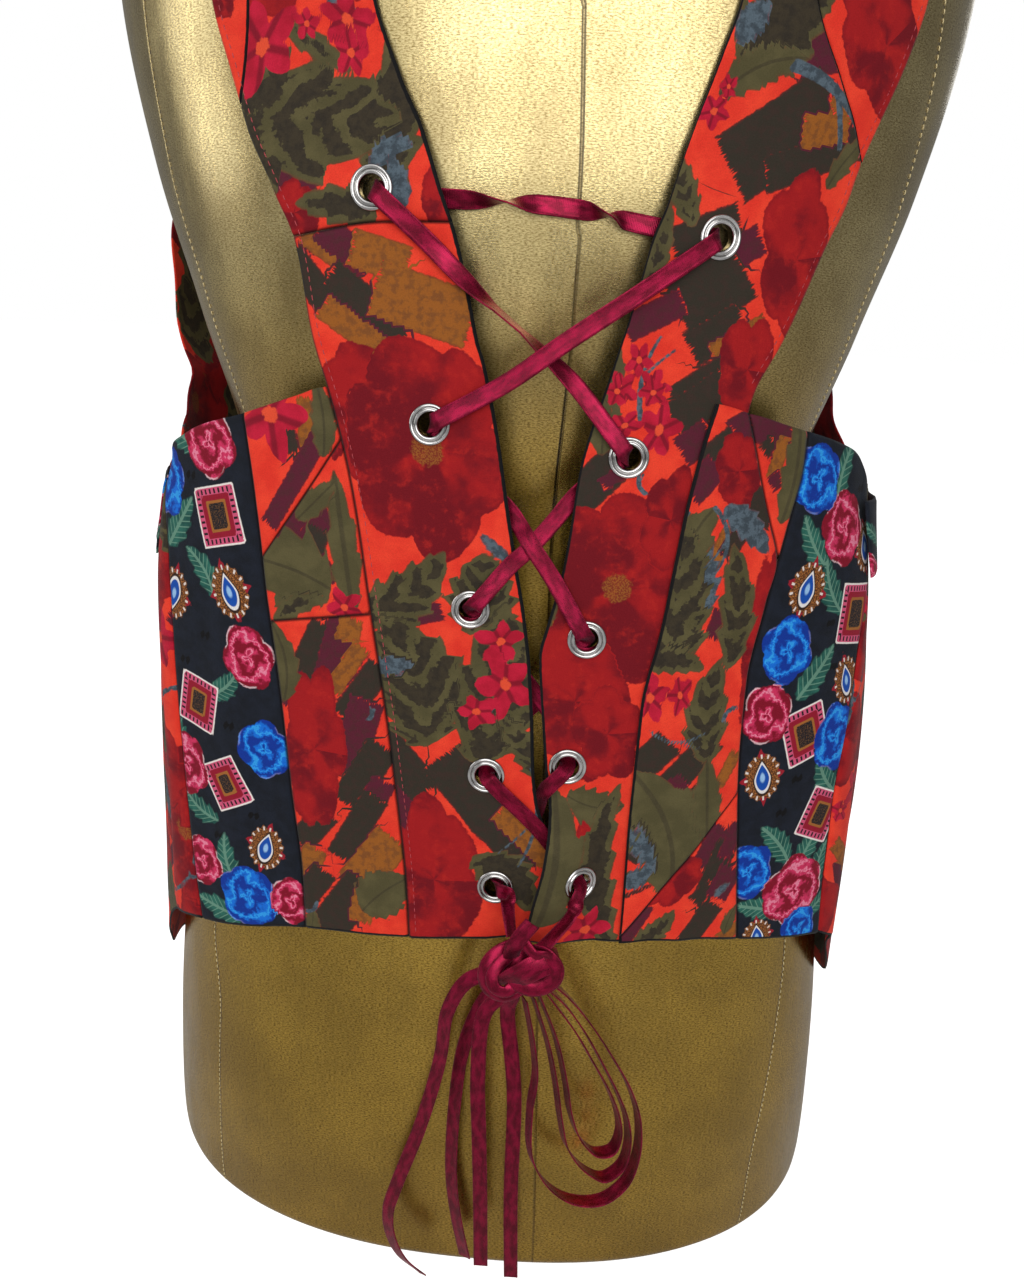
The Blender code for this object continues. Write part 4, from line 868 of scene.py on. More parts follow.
def draw_rose(x, y, long, wide, seed):
    """A full round rose."""
    across, along, angle, reach = round_grid(x, y, long, wide)
    edge = 0.84 + 0.14 * np.abs(np.cos(3 * angle + seed)) ** 0.6 + wobble(angle, seed, ((4, 0.04),))
    return across, along, (reach - edge) * min(long, wide) / 2


def draw_drop(x, y, long, wide, seed):
    """A drop-shaped jewel in a scalloped surround."""
    across, along, _, reach = round_grid(x, y, long, wide)
    angle = np.arctan2(across, along)
    edge = 0.8 + 0.06 * np.cos(16 * angle) + 0.16 * np.maximum(np.cos(4 * angle), 0) ** 12
    return across, along, (reach - edge) * min(long, wide) / 2


def draw_square(x, y, long, wide, seed):
    """A square tile."""
    return x, y, np.maximum(np.abs(x) - wide / 2, np.abs(y) - long / 2)


# How each kind of motif is drawn, the numbers that it writes and which of its tones it keeps
DRAWN = {
    "bar": (draw_bar, "ink_bars", 0), "square": (draw_square, "ink_bars", 0),
    "leaf": (draw_leaf, "ink_leaves", 1),
    "bloom": (draw_bloom, "ink_blooms", 2), "rose": (draw_rose, "ink_blooms", 2),
    "flower": (draw_flower, "ink_flowers", None), "drop": (draw_drop, "ink_flowers", None),
    "stem": (draw_stem, "where", None), "lozenges": (draw_lozenges, "where", None),
}


SHOULDER_START = 664.0      # above this height the print keeps the run round that it has here


class Chart:
    """Distances along the cloth: round the body from the centre front, and up from a height."""

    TURN_STEP, HEIGHT_STEP = 1.5, 4.0
    LOWEST, UP_FROM = 50.0, 175.0

    def __init__(self):
        self.turns = np.arange(-330.0, 331.0, self.TURN_STEP)
        self.heights = np.arange(self.LOWEST, 760.0, self.HEIGHT_STEP)
        points = bare_cloth(*np.meshgrid(self.turns, self.heights))
        run, _ = along_rows(points)
        self.round = run - run[:, [len(self.turns) // 2]]
        rise = along_rows(np.swapaxes(points, 0, 1))[0].T
        self.up = rise - rise[[round((self.UP_FROM - self.LOWEST) / self.HEIGHT_STEP)]]

    def read(self, turn, height):
        i = (np.asarray(height, float) - self.heights[0]) / self.HEIGHT_STEP
        j = (np.asarray(turn, float) - self.turns[0]) / self.TURN_STEP
        i = np.clip(i, 0, len(self.heights) - 1.001)
        j = np.clip(j, 0, len(self.turns) - 1.001)
        i0, j0 = i.astype(int), j.astype(int)
        a, b = i - i0, j - j0
        found = []
        for table in (self.round, self.up):
            low = (1 - b) * table[i0, j0] + b * table[i0, j0 + 1]
            high = (1 - b) * table[i0 + 1, j0] + b * table[i0 + 1, j0 + 1]
            found.append((1 - a) * low + a * high)
        return found


# Length, width and tilt of each motif, in millimetres and degrees from upright. Bar tones: 0 dark,
# 1 plum, 2 ochre, 3 bare. Leaf tones: 0 olive, 1 with dark fingers, 2 dark, 3 grey. A bloom of
# tone 1 shows its heart. Rose tones: 0 pink, 1 blue.
Motif = namedtuple("Motif", "kind turn height long wide tilt tone")
PRINTS = {
    "strap_left": [
        ("bloom", -33.5, 494, 11, 12, -152, 0),
    ],
    "band_left_upper": [
        ("leaf", -9.7, 463, 56, 21, 3, 2), ("bar", -9.6, 486, 17, 9, 73, 3),
        ("leaf", -19.9, 460, 61, 40, -93, 1), ("leaf", -19.9, 480, 31, 8, -120, 2),
        ("flower", -27.1, 480, 24, 29, -122, 0), ("flower", -16.1, 487, 20, 15, -119, 0),
        ("flower", -15.6, 478, 15, 11, -148, 0), ("flower", -21.1, 486, 10, 9, -133, 0),
        ("leaf", -16.1, 489, 15, 6, -116, 3), ("leaf", -9.2, 451, 15, 9, -62, 3),
        ("leaf", -7.9, 442, 18, 8, 22, 3), ("bloom", -20, 432, 19, 18, -156, 0),
        ("bar", -20.1, 439, 16, 11, -100, 1), ("leaf", -14.5, 434, 28, 13, 83, 2),
        ("bloom", -3.3, 437, 27, 12, -168, 0),
    ],
    "band_left_lower": [
        ("bar", -15.2, 420, 24, 6, -120, 2), ("bar", -13.4, 423, 20, 10, -124, 1),
        ("bar", -9.2, 420, 20, 12, -105, 2), ("bar", -17.5, 411, 24, 10, -138, 0),
        ("bar", -10.5, 405, 32, 11, -125, 0), ("bar", -11.8, 397, 28, 9, -123, 2),
        ("bar", -4.5, 406, 34, 18, -106, 2), ("bloom", -11.3, 371, 44, 33, -167, 0),
        ("bloom", -4.3, 360, 72, 58, 176, 1), ("leaf", -6.5, 311, 42, 21, -52, 1),
        ("bar", -4.3, 303, 13, 7, -74, 1), ("leaf", -0.1, 311, 30, 26, -3, 1),
        ("leaf", -5.6, 278, 51, 39, 17, 1), ("leaf", 0.7, 278, 62, 32, -9, 1),
        ("leaf", -7.7, 283, 18, 9, -81, 3), ("leaf", 0.7, 328, 15, 5, 49, 3),
        ("flower", 1, 295, 18, 15, -56, 0), ("flower", 1.3, 279, 26, 21, -169, 0),
        ("flower", -0.3, 268, 14, 14, -26, 0), ("bar", -6.7, 244, 28, 17, -140, 0),
        ("bar", 0.6, 229, 56, 21, -140, 0), ("bar", 3, 219, 29, 9, -134, 2),
        ("bar", -6.5, 227, 18, 11, -137, 1), ("bloom", -3.2, 198, 67, 38, -177, 0),
        ("leaf", 1.9, 200, 32, 21, -134, 2), ("leaf", 2.5, 256, 31, 12, 33, 1),
        ("stem", 3.6, 227, 42, 2, 175, 0), ("stem", 0.5, 269, 12, 2, 147, 0),
    ],
    "front_left_upper": [
        ("flower", -24.3, 368, 29, 29, -50, 0), ("bar", -22.3, 362, 15, 10, -168, 0),
        ("bar", -18.8, 366, 18, 6, 178, 2), ("leaf", -16.6, 368, 26, 10, 2, 0),
        ("bar", -20.6, 346, 40, 7, 147, 1),
    ],
    "front_left_middle": [
        ("bloom", -14.6, 359, 9, 6, 159, 0), ("leaf", -13.5, 326, 51, 12, 6, 0),
        ("leaf", -17.4, 340, 21, 10, -46, 0), ("bar", -20.2, 330, 18, 10, 139, 1),
        ("bar", -17.4, 328, 22, 10, 142, 1), ("bar", -17.4, 323, 16, 9, 163, 0),
        ("bar", -15.9, 315, 11, 9, -143, 1), ("leaf", -20.8, 314, 34, 32, 76, 0),
        ("leaf", -19, 301, 26, 9, -63, 2), ("flower", -13.1, 303, 15, 14, -44, 0),
    ],
    "front_left_lower": [
        ("leaf", -21.8, 280, 32, 12, 8, 0), ("bar", -17.4, 284, 27, 11, 154, 0),
        ("bar", -14.3, 286, 28, 11, 163, 1), ("bar", -12.5, 295, 10, 9, 167, 2),
        ("bar", -12.8, 280, 23, 7, 147, 2), ("bar", -11, 272, 26, 10, 145, 0),
        ("bar", -20.8, 270, 16, 9, 169, 1), ("bloom", -17, 247, 64, 26, 177, 0),
        ("bar", -11.6, 254, 32, 13, 164, 1), ("bar", -10.7, 239, 30, 13, 150, 0),
        ("bar", -9.5, 230, 18, 10, 153, 1), ("bar", -11.5, 217, 32, 11, 152, 0),
        ("bar", -9.5, 203, 28, 16, 146, 2), ("leaf", -8.2, 190, 25, 23, -47, 0),
        ("bar", -17.2, 214, 20, 11, 143, 0), ("bar", -18, 197, 20, 10, 156, 2),
        ("bar", -17.3, 188, 21, 11, 148, 0), ("bar", -12.9, 182, 30, 16, 148, 0),
        ("bar", -10.7, 183, 15, 10, 169, 2), ("leaf", -17.3, 172, 14, 8, -8, 0),
        ("stem", -17.2, 179, 8, 2, 142, 0), ("stem", -10, 264, 6, 2, -9, 0),
    ],
    "strap_right": [
        ("bloom", 42.9, 489, 47, 32, -136, 0), ("leaf", 30.5, 499, 11, 12, -20, 2),
    ],
    "band_right": [
        ("leaf", 26.6, 489, 35, 27, -51, 2), ("leaf", 25.2, 478, 30, 13, -64, 0),
        ("leaf", 22.4, 491, 15, 10, -38, 3), ("bar", 32.1, 484, 13, 12, -75, 1),
        ("flower", 20.3, 466, 11, 11, 17, 0), ("flower", 21.2, 473, 8, 6, 23, 0),
        ("bar", 30.9, 461, 37, 24, -50, 0), ("bar", 38.1, 456, 38, 12, -67, 0),
        ("bar", 37.5, 464, 18, 11, -77, 2), ("bar", 38.5, 472, 9, 7, -56, 2),
        ("stem", 36.6, 473, 37, 4, -119, 0), ("leaf", 44.1, 457, 24, 9, -33, 0),
        ("bloom", 37.7, 425, 52, 29, -170, 0), ("leaf", 19, 444, 25, 10, 28, 1),
        ("leaf", 16.7, 427, 26, 8, -13, 1), ("bar", 22.8, 431, 24, 12, -66, 0),
        ("bar", 27.3, 426, 20, 10, -60, 1), ("bar", 24.3, 414, 26, 20, -54, 0),
        ("bar", 16.8, 406, 21, 9, -62, 1), ("bar", 25.6, 401, 21, 12, -57, 0),
        ("bar", 29.4, 399, 22, 9, -60, 2), ("bloom", 30.9, 390, 35, 22, 174, 0),
        ("bar", 24.2, 384, 23, 13, -57, 0), ("leaf", 11.5, 383, 39, 10, -7, 0),
        ("flower", 13.1, 383, 12, 11, -9, 0), ("flower", 17.1, 384, 12, 11, -19, 0),
        ("flower", 15.2, 392, 12, 9, -12, 0), ("stem", 16.2, 386, 29, 2, -11, 0),
        ("flower", 12.6, 382, 10, 9, -4, 0), ("flower", 17.1, 382, 10, 10, -9, 0),
        ("flower", 17.8, 370, 20, 14, -18, 0), ("flower", 13.4, 371, 14, 9, -60, 0),
        ("bar", 23.7, 379, 23, 13, -55, 0), ("bar", 22.7, 366, 13, 11, -56, 1),
        ("leaf", 10.5, 372, 22, 10, 7, 0), ("bar", 9.8, 352, 24, 13, -44, 0),
        ("bar", 11.9, 354, 10, 5, -54, 1), ("stem", 15.3, 352, 8, 2, 21, 0),
        ("bar", 7.5, 336, 13, 5, -34, 2), ("bloom", 12.2, 316, 66, 49, -176, 1),
        ("bloom", 19.1, 340, 35, 21, -11, 0), ("bar", 14.7, 339, 12, 6, -155, 1),
        ("leaf", 4.9, 305, 16, 6, -25, 0), ("bar", 5.6, 299, 13, 10, -53, 2),
        ("bloom", 7.6, 274, 60, 38, -176, 0), ("bloom", 11.2, 262, 39, 24, -175, 0),
        ("leaf", 10.1, 234, 22, 16, -99, 0), ("leaf", 11.6, 207, 72, 17, 1, 2),
        ("leaf", 5.6, 213, 56, 22, -3, 0), ("bloom", 8.9, 220, 18, 7, -174, 0),
        ("flower", 9.6, 182, 20, 20, -1, 0),
    ],
    "front_right": [
        ("bar", 27.7, 366, 24, 11, -50, 0), ("bar", 29.8, 372, 10, 9, -63, 1),
        ("bloom", 28.9, 357, 26, 18, -175, 0), ("bar", 23.4, 354, 15, 10, -42, 1),
        ("bar", 32.6, 345, 16, 12, -118, 0), ("leaf", 21.8, 327, 39, 17, 17, 3),
        ("leaf", 30.5, 337, 26, 12, -132, 3), ("leaf", 22.1, 332, 30, 17, -19, 0),
        ("bar", 25.8, 331, 18, 6, -26, 2), ("bar", 27.7, 332, 10, 7, -33, 0),
        ("leaf", 19.8, 313, 52, 26, -1, 1), ("leaf", 27.6, 310, 46, 16, 3, 1),
        ("bar", 24.6, 304, 12, 5, -15, 1), ("bloom", 31.8, 295, 68, 13, 177, 0),
        ("leaf", 18.9, 290, 24, 12, -95, 2), ("flower", 16, 277, 20, 15, 3, 0),
        ("flower", 19.8, 278, 16, 9, 0, 0), ("leaf", 23.9, 271, 40, 18, -3, 1),
        ("stem", 19.6, 262, 21, 2, -92, 0), ("stem", 26.9, 270, 9, 2, -40, 0),
        ("stem", 25.8, 334, 24, 2, -174, 0), ("bar", 16.1, 253, 21, 12, -43, 0),
        ("bar", 21.4, 251, 26, 11, -40, 0), ("bar", 19.2, 242, 11, 7, -57, 1),
        ("bar", 21.9, 238, 9, 6, -42, 0), ("leaf", 17.7, 225, 55, 34, 21, 0),
        ("leaf", 24.1, 236, 34, 13, 5, 0), ("bar", 27, 248, 16, 5, -26, 2),
        ("bar", 22.8, 223, 9, 6, -21, 1), ("leaf", 15.1, 219, 24, 6, 27, 3),
        ("leaf", 16.4, 217, 24, 6, 19, 3), ("leaf", 15.4, 205, 15, 9, -58, 3),
        ("bar", 14.2, 218, 15, 10, -121, 0), ("bar", 16.7, 201, 23, 2, -63, 0),
    ],
    "front_right_corner": [
        ("bloom", 20, 203, 27, 18, -42, 0), ("bar", 25.2, 216, 20, 9, -26, 1),
        ("bar", 26.5, 207, 24, 10, -20, 0), ("bar", 24.8, 196, 11, 9, -46, 0),
        ("bar", 27.9, 200, 15, 10, -23, 1), ("bar", 24.6, 183, 20, 10, -33, 0),
        ("bar", 28.5, 218, 16, 6, -18, 1), ("leaf", 18.4, 183, 20, 10, -46, 2),
        ("bar", 15.3, 184, 21, 7, -27, 1), ("bar", 29.6, 177, 11, 7, -48, 2),
        ("leaf", 29.5, 183, 14, 6, -16, 0), ("leaf", 27.8, 197, 9, 4, -43, 3),
    ],
    "front_right_wedge": [
        ("bar", 35.2, 372, 20, 13, -95, 1), ("bar", 34.3, 365, 7, 6, -44, 0),
        ("bar", 36.4, 361, 16, 6, -18, 2), ("leaf", 39.6, 358, 41, 13, -8, 0),
        ("bar", 35.8, 353, 6, 6, -56, 1),
    ],
    "side_left": [
        ("leaf", -44, 358, 24, 12, 62, 0), ("rose", -36.3, 356, 27, 25, 20, 0),
        ("leaf", -42.5, 325, 25, 12, -35, 0), ("rose", -48.5, 339, 29, 25, 0, 1),
        ("lozenges", -40.5, 343, 4.5, 5.5, 0, 0), ("square", -33.5, 330, 22, 20, 14, 0),
        ("leaf", -36.5, 309, 22, 11, 40, 0), ("drop", -30.3, 303, 25, 20, 20, 0),
        ("drop", -43, 297, 25, 20, 165, 0), ("leaf", -31.5, 266, 21, 10, -50, 0),
        ("rose", -27, 279, 26, 22, 10, 0), ("lozenges", -35.3, 284, 4.5, 5.5, 0, 0),
        ("lozenges", -40, 272, 4.5, 5.5, 0, 0), ("square", -37, 256, 21, 19, -12, 0),
        ("leaf", -43, 243, 25, 12, 20, 0), ("rose", -24.5, 243, 24, 24, 30, 1),
        ("lozenges", -30.5, 250, 4.5, 5.5, 0, 0), ("leaf", -37.5, 212, 23, 11, 60, 0),
        ("rose", -40.3, 228, 28, 25, 0, 0), ("square", -31.3, 225, 20, 18, 28, 0),
        ("lozenges", -26.5, 214, 4.5, 5.5, 0, 0), ("lozenges", -33, 201, 4.5, 5.5, 0, 0),
        ("drop", -24.5, 201, 24, 19, -15, 0), ("leaf", -31, 191, 25, 12, 15, 0),
        ("leaf", -33, 168, 24, 12, 80, 0), ("rose", -27.5, 177, 29, 27, 0, 1),
        ("rose", -20.3, 180, 21, 20, 0, 0), ("rose", -36.7, 187, 23, 21, 0, 0),
    ],
    "side_right": [
        ("leaf", 53, 354, 27, 12, -25, 0), ("rose", 45.3, 353, 27, 24, 0, 1),
        ("leaf", 43.5, 331, 23, 11, 30, 0), ("rose", 52, 334, 29, 26, 0, 0),
        ("lozenges", 59.5, 347, 4.5, 5.5, 0, 0), ("drop", 59.5, 325, 24, 19, 12, 0),
        ("leaf", 47.5, 313, 25, 12, 25, 0), ("drop", 41.3, 314, 25, 20, -20, 0),
        ("square", 54.2, 301, 23, 21, -10, 0), ("lozenges", 46.5, 300, 4.5, 5.5, 0, 0),
        ("leaf", 43, 282, 26, 12, -40, 0), ("rose", 37, 292, 27, 23, 0, 1),
        ("drop", 51, 276, 24, 18, 15, 0), ("lozenges", 47, 283, 4.5, 5.5, 0, 0),
        ("rose", 33.3, 268, 25, 22, 0, 0), ("square", 41, 258, 22, 20, 18, 0),
        ("leaf", 47, 238, 25, 12, 35, 0), ("rose", 48.3, 254, 29, 24, 0, 1),
        ("drop", 33, 243, 24, 19, 8, 0), ("lozenges", 39.8, 240, 4.5, 5.5, 0, 0),
        ("lozenges", 37, 227, 4.5, 5.5, 0, 0), ("square", 46, 222, 21, 19, -25, 0),
        ("leaf", 36.5, 214, 23, 11, 40, 0), ("leaf", 43.6, 209, 23, 11, -30, 0),
        ("rose", 31.8, 203, 26, 22, 0, 1), ("leaf", 47.3, 199, 23, 11, -10, 0),
        ("leaf", 34.5, 186, 23, 11, 75, 0), ("rose", 41.3, 191, 32, 31, 0, 0),
        ("drop", 34.8, 173, 20, 16, 10, 0), ("leaf", 46.8, 181, 21, 10, -60, 0),
        ("rose", 43.5, 172, 21, 19, 0, 1),
    ],
}


def scattered(kinds, turns, heights, across, up, seed):
    """Motifs on an uneven grid, for the cloth that the tables above leave plain."""
    source = np.random.default_rng(seed)
    found = []
    for height in np.arange(heights[0], heights[1], up):
        for turn in np.arange(turns[0], turns[1], across):
            kind, long, wide, tone = kinds[source.integers(len(kinds))]
            scale = source.uniform(0.8, 1.25)
            found.append(Motif(kind, turn + across * source.uniform(-0.4, 0.4),
                               height + up * source.uniform(-0.4, 0.4), long * scale, wide * scale,
                               source.uniform(-70, 70), tone))
    return found


BOLD = [("bloom", 62, 54, 1), ("bloom", 46, 40, 0), ("bar", 34, 9, 0), ("bar", 30, 8, 1),
        ("bar", 26, 8, 2), ("bar", 30, 12, 0), ("leaf", 52, 26, 1), ("leaf", 44, 20, 0),
        ("leaf", 36, 16, 2), ("leaf", 22, 9, 3), ("flower", 20, 20, 0), ("flower", 15, 14, 0),
        ("stem", 40, 2, 0), ("bloom", 34, 30, 0)]
SMALL = [("rose", 21, 20, 0), ("rose", 20, 18, 1), ("leaf", 19, 9, 0), ("leaf", 16, 8, 0),
         ("square", 15, 13, 0), ("drop", 20, 15, 0), ("lozenges", 4, 5, 0), ("lozenges", 4, 5, 0)]


# Cloth that the tables leave plain: kinds, turns, heights, spacing each way and seed
Scatter = namedtuple("Scatter", "kinds turns heights across up seed")
SCATTERED = {
    "back": Scatter(BOLD, (-316, -30), (66, 720), 9.5, 26, 11),
    "back_belt": Scatter(SMALL, (-306, -52), (304, 336), 6.5, 15, 5),
    "strap_left": Scatter(BOLD, (-90, -24), (560, 720), 9.5, 26, 7),
    "strap_right": Scatter(BOLD, (24, 90), (560, 720), 9.5, 26, 7),
    "band_left_upper": Scatter(BOLD, (-40, -14), (520, 660), 7, 24, 3),
    "band_right": Scatter(BOLD, (20, 52), (520, 660), 7, 24, 3),
}


def motifs_on(name):
    loose = scattered(*SCATTERED[name]) if name in SCATTERED else []
    return loose + PRINTS.get(name, [])


def printed(motifs, turn, height, chart):
    """What the motifs write at each place of a cut piece; a later one lies over an earlier."""
    held = {name: np.tile([FAR, FAR, FAR], turn.shape + (1,)) for name in
            ("ink_bars", "ink_leaves", "ink_blooms", "ink_flowers", "where")}
    held["ink_tones"] = np.zeros(turn.shape + (3,))
    round_at, up_at = chart.read(turn, height)
    drawn_round, _ = chart.read(turn, np.minimum(height, SHOULDER_START))
    for number, row in enumerate(motifs):
        motif = Motif(*row)
        draw, name, tone = DRAWN[motif.kind]
        _, up_middle = chart.read(motif.turn, motif.height)
        round_middle, _ = chart.read(motif.turn, min(motif.height, SHOULDER_START))
        dx, dy = drawn_round - round_middle, up_at - up_middle
        near = np.hypot(dx, dy) < 0.75 * (motif.long + motif.wide) + 12
        if not near.any():
            continue
        dx, dy = dx[near], dy[near]
        c, s = math.cos(math.radians(motif.tilt)), math.sin(math.radians(motif.tilt))
        seed = number + int(motif.height)
        drawn = draw(dx * c + dy * s, dy * c - dx * s, motif.long, motif.wide, seed)
        outline = np.maximum(drawn[1], drawn[2]) if motif.kind == "bar" else drawn[2]
        numbers = held[name][near]
        before = np.maximum(numbers[:, 1], numbers[:, 2]) if motif.kind == "bar" else numbers[:, 2]
        taken = (outline < 0) | (outline < before)
        held[name][near] = np.where(taken[:, None], np.stack(drawn, -1), numbers)
        if tone is not None:
            tones = held["ink_tones"][near]
            tones[:, tone] = np.where(taken, motif.tone, tones[:, tone])
            held["ink_tones"][near] = tones
    held["where"][..., 0], held["where"][..., 1] = drawn_round, up_at
    return held, round_at, up_at


# Pieces of cloth

# Edges are left, right, bottom and top, and sides says for each whether it is sewn to a
# neighbour, s, lined and turned, l, or a plain edge, e. Step is the size of the grid.
Piece = namedtuple("Piece", "name sides edges look rise lift step",
                   defaults=("scarlet", flat_rise, 0.0, 1.25))
SOFT_FOLDS = [
    Fold(-14, 250, 5, 40, 0.5), Fold(-30, 270, 4, 50, 0.9), Fold(-24, 215, 3, 40, -0.5),
    Fold(27, 250, 4, 45, 0.8), Fold(36, 230, 4, 50, 0.7), Fold(22, 215, 3, 30, 0.4),
    Fold(44, 280, 4, 40, 0.7), Fold(-46, 240, 4, 40, 0.6), Fold(-8, 330, 3, 18, 0.5),
    Fold(17, 410, 4, 14, 0.45), Fold(-25, 470, 4, 25, 0.5), Fold(35, 440, 5, 16, 0.6),
    Fold(-180, 220, 12, 60, 0.9), Fold(-140, 400, 14, 40, 0.8), Fold(-220, 400, 14, 40, 0.8),
    Fold(-180, 600, 16, 30, 0.7),
]


def soft_rise(turn, height):
    """Small soft folds and unevenness, which layers that lie on each other share."""
    total = 0.28 + 0 * turn
    for fold in SOFT_FOLDS:
        across, along = (turn - fold.turn) / fold.across, (height - fold.height) / fold.along
        total = total + fold.rise * np.exp(-across**2 - along**2)
    slow = (np.sin(turn * 0.31 + 0.021 * height) * np.sin(0.047 * height - 0.09 * turn)
            + 0.6 * np.sin(turn * 0.83 - 0.06 * height + 1.3))
    return np.maximum(total + 0.16 * slow, 0.0)


def pieces_of_cloth():
    left_ridge = [(-89.8, 686.3), (-89.8, 705.5)]
    right_ridge = [(89.8, 700.7), (89.8, 683.6)]
    side_share = 0.34
    back_right = joined(seam(shifted(RIGHT_SIDE, -360), 165, 348), through(ARMHOLE_RIGHT), side_share)
    back_left = joined(seam(LEFT_SIDE, 159, 349), through(ARMHOLE_LEFT), side_share)
    middle = [(-302, 328), (-180, 321), (-56, 321)]
    lower = [(turn, height - BELT_WIDTH / 2) for turn, height in middle]
    upper = [(turn, height + BELT_WIDTH / 2) for turn, height in middle]
    return [
        Piece("band_left_lower", "slls", (
            seam(LEFT_OUTER, 171, 425), seam(LEFT_INNER, 176, 431),
            rim(HEM, -5.4, 6.6), through(LEFT_CROSS))),
        Piece("band_left_upper", "elss", (
            seam(LEFT_OUTER, 425, 464), seam(LEFT_INNER, 431, 645),
            through(LEFT_CROSS), through(LEFT_DIAGONAL))),
        Piece("strap_left", "ells", (
            seam(LEFT_OUTER, 464, 686.3), seam(LEFT_INNER, 645, 705.5),
            through(LEFT_DIAGONAL), through(left_ridge))),
        Piece("band_right", "lels", (
            seam(RIGHT_INNER, 176, 565), seam(RIGHT_OUTER, 177, 456),
            rim(HEM, 3.4, 18), through(RIGHT_DIAGONAL)), rise=right_band_rise),
        Piece("strap_right", "lees", (
            seam(RIGHT_INNER, 565, 700.7), seam(RIGHT_OUTER, 456, 683.6),
            through(RIGHT_DIAGONAL), through(right_ridge))),
        Piece("front_left_lower", "ssls", (
            seam(LEFT_NAVY, 169, 294.3), seam(LEFT_OUTER, 171.5, 301.3),
            rim(HEM, -18.2, -5.4), through(LEFT_LOW_PIECING))),
        Piece("front_left_middle", "ssss", (
            seam(LEFT_NAVY, 294.3, 317.5), seam(LEFT_OUTER, 301.3, 361.7),
            through(LEFT_LOW_PIECING), through(LEFT_HIGH_PIECING))),
        Piece("front_left_upper", "ssse", (
            seam(LEFT_NAVY, 317.5, 367.3), seam(LEFT_OUTER, 361.7, 378.5),
            through(LEFT_HIGH_PIECING), rim(TOP_EDGE, -29.4, -15.6))),
        Piece("side_left", "ssle", (
            seam(LEFT_SIDE, 159, 349), seam(LEFT_NAVY, 169, 367.3),
            rim(HEM, -37.1, -18.2), rim(TOP_EDGE, -52, -29.4)), look="navy"),
        Piece("front_right", "lsse", (
            seam(RIGHT_FREE, 178.5, 379), seam(RIGHT_DART, 238, 376),
            through(RIGHT_LOW_PIECING), rim(TOP_EDGE, 25.6, 30.9)), rise=right_front_rise),
        Piece("front_right_corner", "lsls", (
            seam(RIGHT_FREE, 176, 178.5), seam(RIGHT_NAVY, 173, 238),
            rim(HEM, 13.8, 31.3), through(RIGHT_LOW_PIECING)), rise=right_front_rise),
        Piece("front_right_wedge", "ssse", (
            seam(RIGHT_DART, 327, 376), seam(RIGHT_NAVY, 327, 369.6),
            through([(35.8, 327), (36.3, 327)]), rim(TOP_EDGE, 30.9, 43.2)), rise=right_front_rise),
        Piece("side_right", "ssle", (
            seam(RIGHT_NAVY, 173, 369.6), seam(RIGHT_SIDE, 165, 348),
            rim(HEM, 31.3, 49.8), rim(TOP_EDGE, 43.2, 65)), look="navy"),
        Piece("back", "eele", (back_right, back_left, rim(HEM, -310.2, -37.1),
                       through(NECKLINE, even=True)), rise=back_rise, step=2.8),
        Piece("back_belt", "eeee", (
            through([lower[0], upper[0]]), through([lower[-1], upper[-1]]),
            through(lower), through(upper)), "navy", back_rise, BELT_RISE, 1.6),
    ]


def add_mesh(name, points, faces, materials, slots=None, held=None):
    """A smooth-shaded piece; points are in millimetres and held are numbers for its material."""
    mesh = bpy.data.meshes.new(name)
    mesh.from_pydata((np.asarray(points) * MM).tolist(), [], faces)
    mesh.shade_smooth()
    for material in materials:
        mesh.materials.append(material)
    if slots is not None:
        mesh.polygons.foreach_set("material_index", slots)
    for key, numbers in (held or {}).items():
        store = mesh.attributes.new(key, "FLOAT_VECTOR", "POINT")
        store.data.foreach_set("vector", np.asarray(numbers, np.float32).ravel())
    made = bpy.data.objects.new(name, mesh)
    bpy.context.collection.objects.link(made)
    return made


def joined_rings(rings, around, flip=False, closed=False):
    """Faces between rings of points, each with its next; closed joins the last to the first."""
    faces = []
    for i in range(rings if closed else rings - 1):
        a, b = i * around, (i + 1) % rings * around
        for k in range(around):
            j = (k + 1) % around
            faces.append([a + k, b + k, b + j, a + j] if flip else [a + k, a + j, b + j, b + k])
    return faces


def grid_faces(columns, keep, first=0, flip=False):
    """Faces of a grid, where keep says so."""
    i, j = np.nonzero(keep)
    a = first + i * columns + j
    ring = np.stack([a, a + 1, a + columns + 1, a + columns], -1)
    return (ring[:, ::-1] if flip else ring).tolist()


def rim_faces(rows, columns, keep):
    """Walls between the outer and inner grids, round the border and round each hole."""
    count = rows * columns
    padded = np.pad(keep, 1)
    faces = []
    for (di, dj), (a, b) in {
            (-1, 0): ((0, 0), (0, 1)), (1, 0): ((1, 1), (1, 0)),
            (0, -1): ((1, 0), (0, 0)), (0, 1): ((0, 1), (1, 1))}.items():
        beside = padded[1 + di:rows + di, 1 + dj:columns + dj]
        for i, j in zip(*np.nonzero(keep & ~beside)):
            p = (i + a[0]) * columns + j + a[1]
            q = (i + b[0]) * columns + j + b[1]
            faces.append([int(q), int(p), int(p) + count, int(q) + count])
    return faces


def along_rows(points):
    """Distance of each point from the first of its row, and from the last."""
    steps = np.linalg.norm(np.diff(points, axis=1), axis=2)
    run = np.concatenate([np.zeros((len(points), 1)), np.cumsum(steps, axis=1)], axis=1)
    return run, run[:, -1:] - run


def cut_size(across, up):
    """Sides of the smallest rectangle that a flat piece is cut from."""
    best = None
    for angle in np.radians(np.arange(0, 90, 3)):
        c, s = np.cos(angle), np.sin(angle)
        sides = float(np.ptp(across * c + up * s)), float(np.ptp(up * c - across * s))
        if best is None or sides[0] * sides[1] < best[0] * best[1]:
            best = sides
    return best


